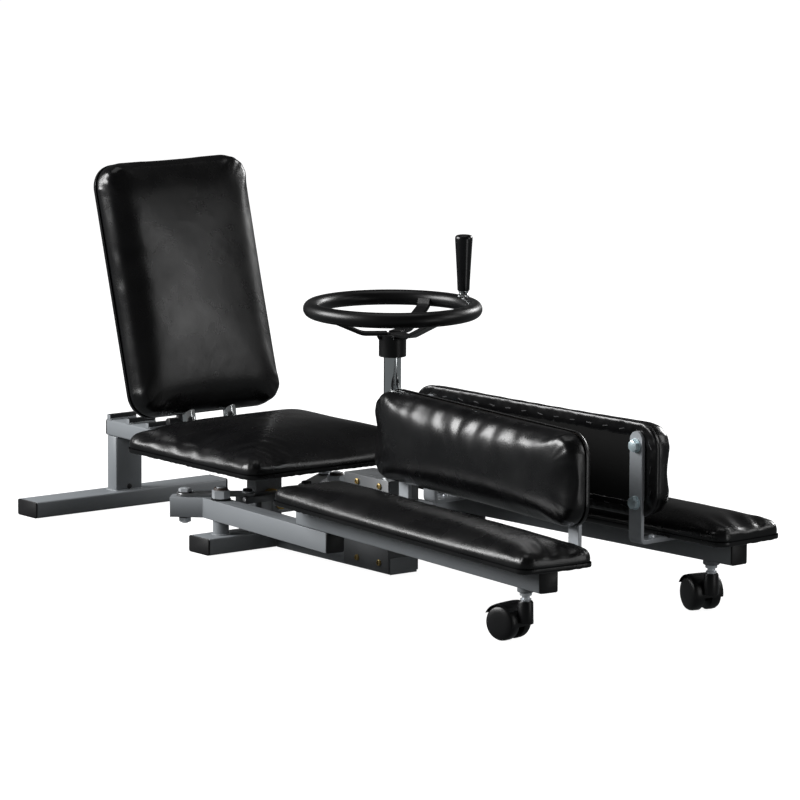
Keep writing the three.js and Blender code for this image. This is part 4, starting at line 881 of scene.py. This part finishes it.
tube_round = [(rim_radius + rim_tube * math.cos(b), rim_tube * math.sin(b)) for b in full_turn(32)]
ring = skinned(arc_rings(tube_round, full_turn(128)), hub_spot @ Matrix.Translation((0, 0, rim_z * MM)), True)
joined("wheel_ring", [(ring, wheel_black)], "handwheel", "black_wheel_coat", "handwheel_rim")


def bar_section(side, half, edge):
    """A flat bar's section, as (across, off the line) pairs with broken edges."""
    e = min(edge, side / 2)
    return [(side - e, -half), (side, -half + edge), (side, half - edge), (side - e, half),
            (-side + e, half), (-side, half - edge), (-side, -half + edge), (-side + e, -half)]


def rings_along(line, sections):
    """Sets a section square to the line at each of its (x, z) points, with its width along Y."""
    rings = []
    for i, (p, section) in enumerate(zip(line, sections)):
        along = (Vector(line[min(i + 1, len(line) - 1)]) - Vector(line[max(i - 1, 0)])).normalized()
        rings.append([Vector((p[0] - along.y * off, across, p[1] + along.x * off)) * MM
                      for across, off in section])
    return rings


def eased(line, radius, steps=6):
    """Rounds the inner corners of a line of (x, z) points."""
    made = [Vector(line[0])]
    for before, corner, after in zip(line, line[1:], line[2:]):
        a, b, c = Vector(before), Vector(corner), Vector(after)
        start, stop = b + (a - b).normalized() * radius, b + (c - b).normalized() * radius
        made += [(1 - t) ** 2 * start + 2 * t * (1 - t) * b + t * t * stop
                 for t in [i / steps for i in range(steps + 1)]]
    return [*made, Vector(line[-1])]


spoke_half, spoke_thick, hub_top, spoke_flat, spoke_turn = 10.0, 5.0, 348.0, 44.0, -3.4
spoke_level = hub_top + 3
spoke_line = eased([(8, spoke_level), (spoke_flat, spoke_level), (rim_radius - 14, rim_z - 10),
                    (rim_radius - 10.5, rim_z + 1)], 6)
spoke_rings = rings_along(spoke_line, [bar_section(spoke_half, spoke_thick / 2, 0.7)] * len(spoke_line))
turns = [math.radians(spoke_turn + 120 * i) for i in range(3)]
hub_rings = [(13, 317.5), (19.4, 317.5), (20, 318.1), (20, 349.4), (19.4, 350), (12, 350.4), (0, 350.4)]
joined("wheel_spider", [
    *[(skinned(spoke_rings, hub_spot @ Matrix.Rotation(turn, 4, "Z")), wheel_black) for turn in turns],
    (turned(hub_rings, hub_spot, 64), wheel_black)], "handwheel", "black_wheel_coat", "handwheel_spider")
wheel_runs = []
for turn in turns:
    out, across = Vector((math.cos(turn), math.sin(turn), 0)), Vector((-math.sin(turn), math.cos(turn), 0))
    at_hub, at_ring = Vector((wheel_x, 0, hub_top)), Vector((wheel_x, 0, rim_z - 6))
    root = at_hub - Vector((0, 0, 2.9))
    wheel_runs.append([root + out * 20.2 + across * w for w in (-11, 11)])
    wheel_runs += [[at_hub + out * r + across * way * 10.3 for r in (9, 19)] for way in (1, -1)]
    wheel_runs.append([at_ring + out * 106.9 + across * w for w in (-9.5, 9.5)])
weld("wheel_welds", "handwheel", wheel_runs, 0.0020, wheel_black, "black_wheel_coat")
post_rings = [(0, 78), (6, 78), (6, 115.7), (12.3, 115.7), (12.7, 116.1), (12.7, 339.6), (12.3, 340),
              (0, 340)]
joined("wheel_post", [(turned(post_rings, hub_spot, 64), chrome)], "handwheel", "chrome", "wheel_shaft")


# ---- Grip --------------------------------------------------------------------------------------
# A tapered turning handle in polished black plastic, wider at its rounded head, that spins on a
# chromed spindle riveted into the ring.
handle_black = finish("handle_black", (0.0025, 0.0025, 0.003), 0.24, specular=0.4, uneven=0.2,
                      bump_height=0.05)
grip_turn, neck_foot, grip_gap = math.radians(82), rim_z + rim_tube, 7.3
grip_spot = Matrix.Translation(Vector((wheel_x + rim_radius * math.cos(grip_turn),
                                       rim_radius * math.sin(grip_turn), neck_foot)) * MM)
neck_rings = [(0, -13), (4, -13), (4, -1), (8.6, -1.2), (8.4, 0.8), (7.4, 1.6), (6.6, 3), (6.8, 5), (7.5, 6),
              (7.5, 6.8), (7.2, 7), (4, 7), (4, 80), (0, 80)]
joined("grip_neck", [(turned(neck_rings, grip_spot), chrome)], "handwheel", "chrome", "grip_spindle")
grip_rings = [(4.3, 0), (8.2, 0), (8.8, 0.5), (9.0, 1.4)]
grip_rings += [(9.0 + 4.0 * (i / 10) ** 1.15, 1.4 + 74.6 * i / 10) for i in range(1, 11)]
grip_rings += [(12.8, 78.4), (12.1, 80.2), (10.8, 81.3), (8.6, 81.9), (0, 82)]
joined("grip_handle", [(turned(grip_rings, grip_spot @ Matrix.Translation((0, 0, grip_gap * MM)), 64),
                        handle_black)], "grip", "black_plastic", "grip")


# ---- Back rest frame ---------------------------------------------------------------------------
# Two chromed tubes, bent a little below the pad, turn on a bolt through the main beam and run up
# inside the pad. A dark bracket behind the pad holds the strut that props the back rest.
hinge_spot, upright_x, upright_y, tube_radius, tube_bore = Vector((0.240, 0, 0.1225)), -4.1, 0.038, 10, 8
hinge_place = back_frame_place.inverted() @ hinge_spot / MM
hinge_end, bend_place = Vector((hinge_place.x, hinge_place.z)), Vector((upright_x, -8))
down, up = (hinge_end - bend_place).normalized(), Vector((0, 1))
upright_line = [hinge_end + down * 14, bend_place + down * 26]
for t in [i / 8 for i in range(9)]:
    low, high = bend_place + down * 22, bend_place + up * 22
    upright_line.append((1 - t) ** 2 * low + 2 * t * (1 - t) * bend_place + t * t * high)
upright_line += [Vector((upright_x, 60)), Vector((upright_x, 120))]
wall_rings = []
for radius in (tube_radius, tube_bore):
    circle = [(radius * math.cos(b), radius * math.sin(b)) for b in full_turn(32)]
    wall_rings.append(rings_along(upright_line, [circle] * len(upright_line)))
tube_rings = wall_rings[0] + wall_rings[1][::-1]
joined("back_uprights", [
    (skinned(tube_rings, back_frame_place @ Matrix.Translation((0, side * upright_y, 0)), True), chrome)
    for side in (1, -1)], "back_rest", "chrome", "back_frame")
across_y = Matrix(((1, 0, 0, 0), (0, 0, -1, 0), (0, 1, 0, 0), (0, 0, 0, 1)))
pin_spot = Matrix.Translation(hinge_spot) @ across_y
joined("hinge_bolt", [(mesh, zinc) for mesh in (
    turned([(0, -55), (4.6, -55), (5, -54.6), (5, 54.6), (4.6, 55), (0, 55)], pin_spot, 32),
    turned([(5.2, 48.6), (9.4, 48.6), (9.4, 50.0), (5.2, 50.0)], pin_spot),
    turned([(5.2, -50.0), (9.4, -50.0), (9.4, -48.6), (5.2, -48.6)], pin_spot),
    hexagon(16, 50.0, 56.4, pin_spot),
    hexagon(16, 50.0, 57.0, pin_spot @ Matrix.Rotation(math.pi, 4, "X")))],
    "frame", "zinc_steel", "back_hinge_pin")
for node in ("strut_bracket", "back_strut"):
    dress(node, black_coat, 0.0006)


# ---- Side pad brackets -------------------------------------------------------------------------
# Flat steel bars, 25 by 6 mm, zinc plated and dull: each stands against the board, rounded at its
# top, and is bent to a foot that runs under the leg rest. Two bolts hold the pad, one the foot.
bracket_steel = finish("bracket_steel", (0.34, 0.36, 0.38), 0.38, metallic=0.25, uneven=0.15, tone_scale=18.0)
bolt_zinc = finish("bolt_zinc", (0.55, 0.66, 0.70), 0.3, metallic=0.5, uneven=0.25, tone_scale=120.0)
bar_half, bar_thick_half, bar_y, bar_foot, bar_top, foot_start = 12.5, 3, 110.0, 110.0, 267.0, -15
bar_line = eased([(foot_start, bar_foot), (bar_y, bar_foot), (bar_y, 240)], 7.0)[:-1]
bar_line += [Vector((bar_y, z)) for z in (150.0, 200.0, 240.0)]
bar_halves = [bar_half] * len(bar_line)
for i in range(1, 11):
    a = math.pi / 2 * i / 10
    bar_line.append(Vector((bar_y, bar_top - bar_half + bar_half * math.sin(a))))
    bar_halves.append(max(bar_half * math.cos(a), 0.4))
bar_rings = rings_along(bar_line, [bar_section(half, bar_thick_half, 0.6) for half in bar_halves])
bracket_bolt = bmesh.new()
bracket_bolt.from_mesh(hexagon(15, 1.6, 7.6))
bracket_bolt.from_mesh(turned([(0, 0), (9.6, 0), (10, 0.3), (10, 1.3), (9.6, 1.6), (0, 1.6)]))
bolt = bpy.data.meshes.new("bracket_bolt")
bracket_bolt.to_mesh(bolt)
bracket_bolt.free()
foot_bolt = turned([(0, 0), (5.2, 0), (5.2, 1.2), (4.4, 3.0), (2.6, 4.0), (0, 4.2)], steps=32)
bracket_places, pad_bolt_heights, foot_bolt_y = {"rear": 328.4, "front": 753.6}, (247.0, 166.0), 80.0
for name, side in sides.items():
    leg = leg_frame[name]
    inboard = Matrix(((0, 1, 0, 0), (-side, 0, 0, 0), (0, 0, 1, 0), (0, 0, 0, 1)))
    for end, x in bracket_places.items():
        bar = skinned(bar_rings, leg @ Matrix.Translation((x * MM, 0, 0)) @ inboard)
        joined(f"bracket_{end}_{name}", [(bar, bracket_steel)], f"leg_{name}", "zinc_steel",
               f"side_bracket_{end}_{name}")
    inward = leg.to_3x3() @ Vector((0, -side, 0))
    fasteners(f"pad_bolts_{name}", f"leg_{name}", bolt, bolt_zinc, [
        (leg @ (Vector((x, -side * (bar_y + bar_thick_half), z)) * MM), inward)
        for x in bracket_places.values() for z in pad_bolt_heights])
    fasteners(f"foot_bolts_{name}", f"leg_{name}", foot_bolt, zinc, [
        (leg @ (Vector((x, -side * foot_bolt_y, bar_foot + bar_thick_half)) * MM), (0, 0, 1))
        for x in bracket_places.values()])


# ---- Casters -----------------------------------------------------------------------------------
# Twin-wheel furniture casters in black nylon: a smooth hood between and over two dished wheels, on
# a zinc-plated stem that turns in a socket under the leg tube.
wheel_nylon = finish("caster_nylon", (0.0035, 0.0035, 0.004), 0.36, specular=0.35, uneven=0.25,
                     bump_height=0.1)
stem_x, trail, axle_height, caster_yaw = 793.3, 30.0, 25, math.radians(16)
wheel_rings = [(0, 5.8), (21, 5.8), (24.4, 6.2), (25, 7.2), (25, 15), (24.6, 18.0), (23.2, 20.6),
               (20.4, 22.2), (15, 23.0), (8, 23.3), (0, 23.4)]
hood_profile = [(25.5, -22.7), (26.0, -22.7), (26.7, -21.8), (27.3, -16), (27.5, 0), (27.3, 16), (26.7, 21.8),
                (26.0, 22.7), (25.5, 22.7), (25.5, 5.2), (12.0, 5.2), (12.0, -5.2), (25.5, -5.2)]
hood_rings = arc_rings(hood_profile, [math.radians(-8 + 160 * i / 40) for i in range(41)])
stem_rings = [(0, 56), (6.4, 56), (6.4, 58.4), (7.6, 58.8), (7.8, 60.6), (5.6, 61.2), (5.6, 64.8),
              (8.2, 65.4), (8.6, 66.4), (8.6, 69.0), (8.0, 69.8), (5.5, 70.2), (5.5, 99), (0, 99)]
for name, side in sides.items():
    stem_spot = (leg_frame[name] @ Matrix.Translation((stem_x * MM, 0, 0))
                 @ Matrix.Rotation(-side * caster_yaw, 4, "Z"))
    axle = stem_spot @ Matrix.Translation((-trail * MM, 0, axle_height * MM)) @ across_y
    wheels = []
    for face in (Matrix(), Matrix.Rotation(math.pi, 4, "X")):
        wheels.append((turned(wheel_rings, axle @ face, 64), wheel_nylon))
        wheels.append((turned([(0, 0), (4, 0), (4, 6), (0, 6)], axle @ face, 24), zinc))
    joined(f"caster_wheel_pair_{name}", wheels, f"caster_wheels_{name}", "black_plastic",
           f"caster_wheels_{name}")
    joined(f"caster_fork_{name}", [
        (skinned(hood_rings, axle), wheel_nylon),
        (turned([(0, -5.2), (13.4, -5.2), (13.4, 5.2), (0, 5.2)], axle), wheel_nylon),
        (turned([(0, 27), (10.6, 27), (11, 30), (10.6, 55), (9.6, 57.4), (0, 57.6)], stem_spot), wheel_nylon),
        (turned(stem_rings, stem_spot), zinc),
        (turned([(6, 70.4), (11.4, 70.4), (12, 71.2), (12, 76.9), (6, 76.9)], stem_spot), grey_coat),
    ], f"caster_{name}", "black_plastic", f"caster_hood_{name}")


# ---- Bolts between arm and leg tube ------------------------------------------------------------
# Two bolts hold each leg tube on its arm; the rear one's bright head shows in the gap behind the
# leg rest's cushion.
tube_top, tube_bolt_places = 107.0, (238.0, 296.0)
tube_bolt = hexagon(13, 0, 5.3)
for name in sides:
    fasteners(f"tube_bolts_{name}", f"leg_{name}", tube_bolt, zinc, [
        (leg_frame[name] @ (Vector((x, 0, tube_top)) * MM), (0, 0, 1)) for x in tube_bolt_places])
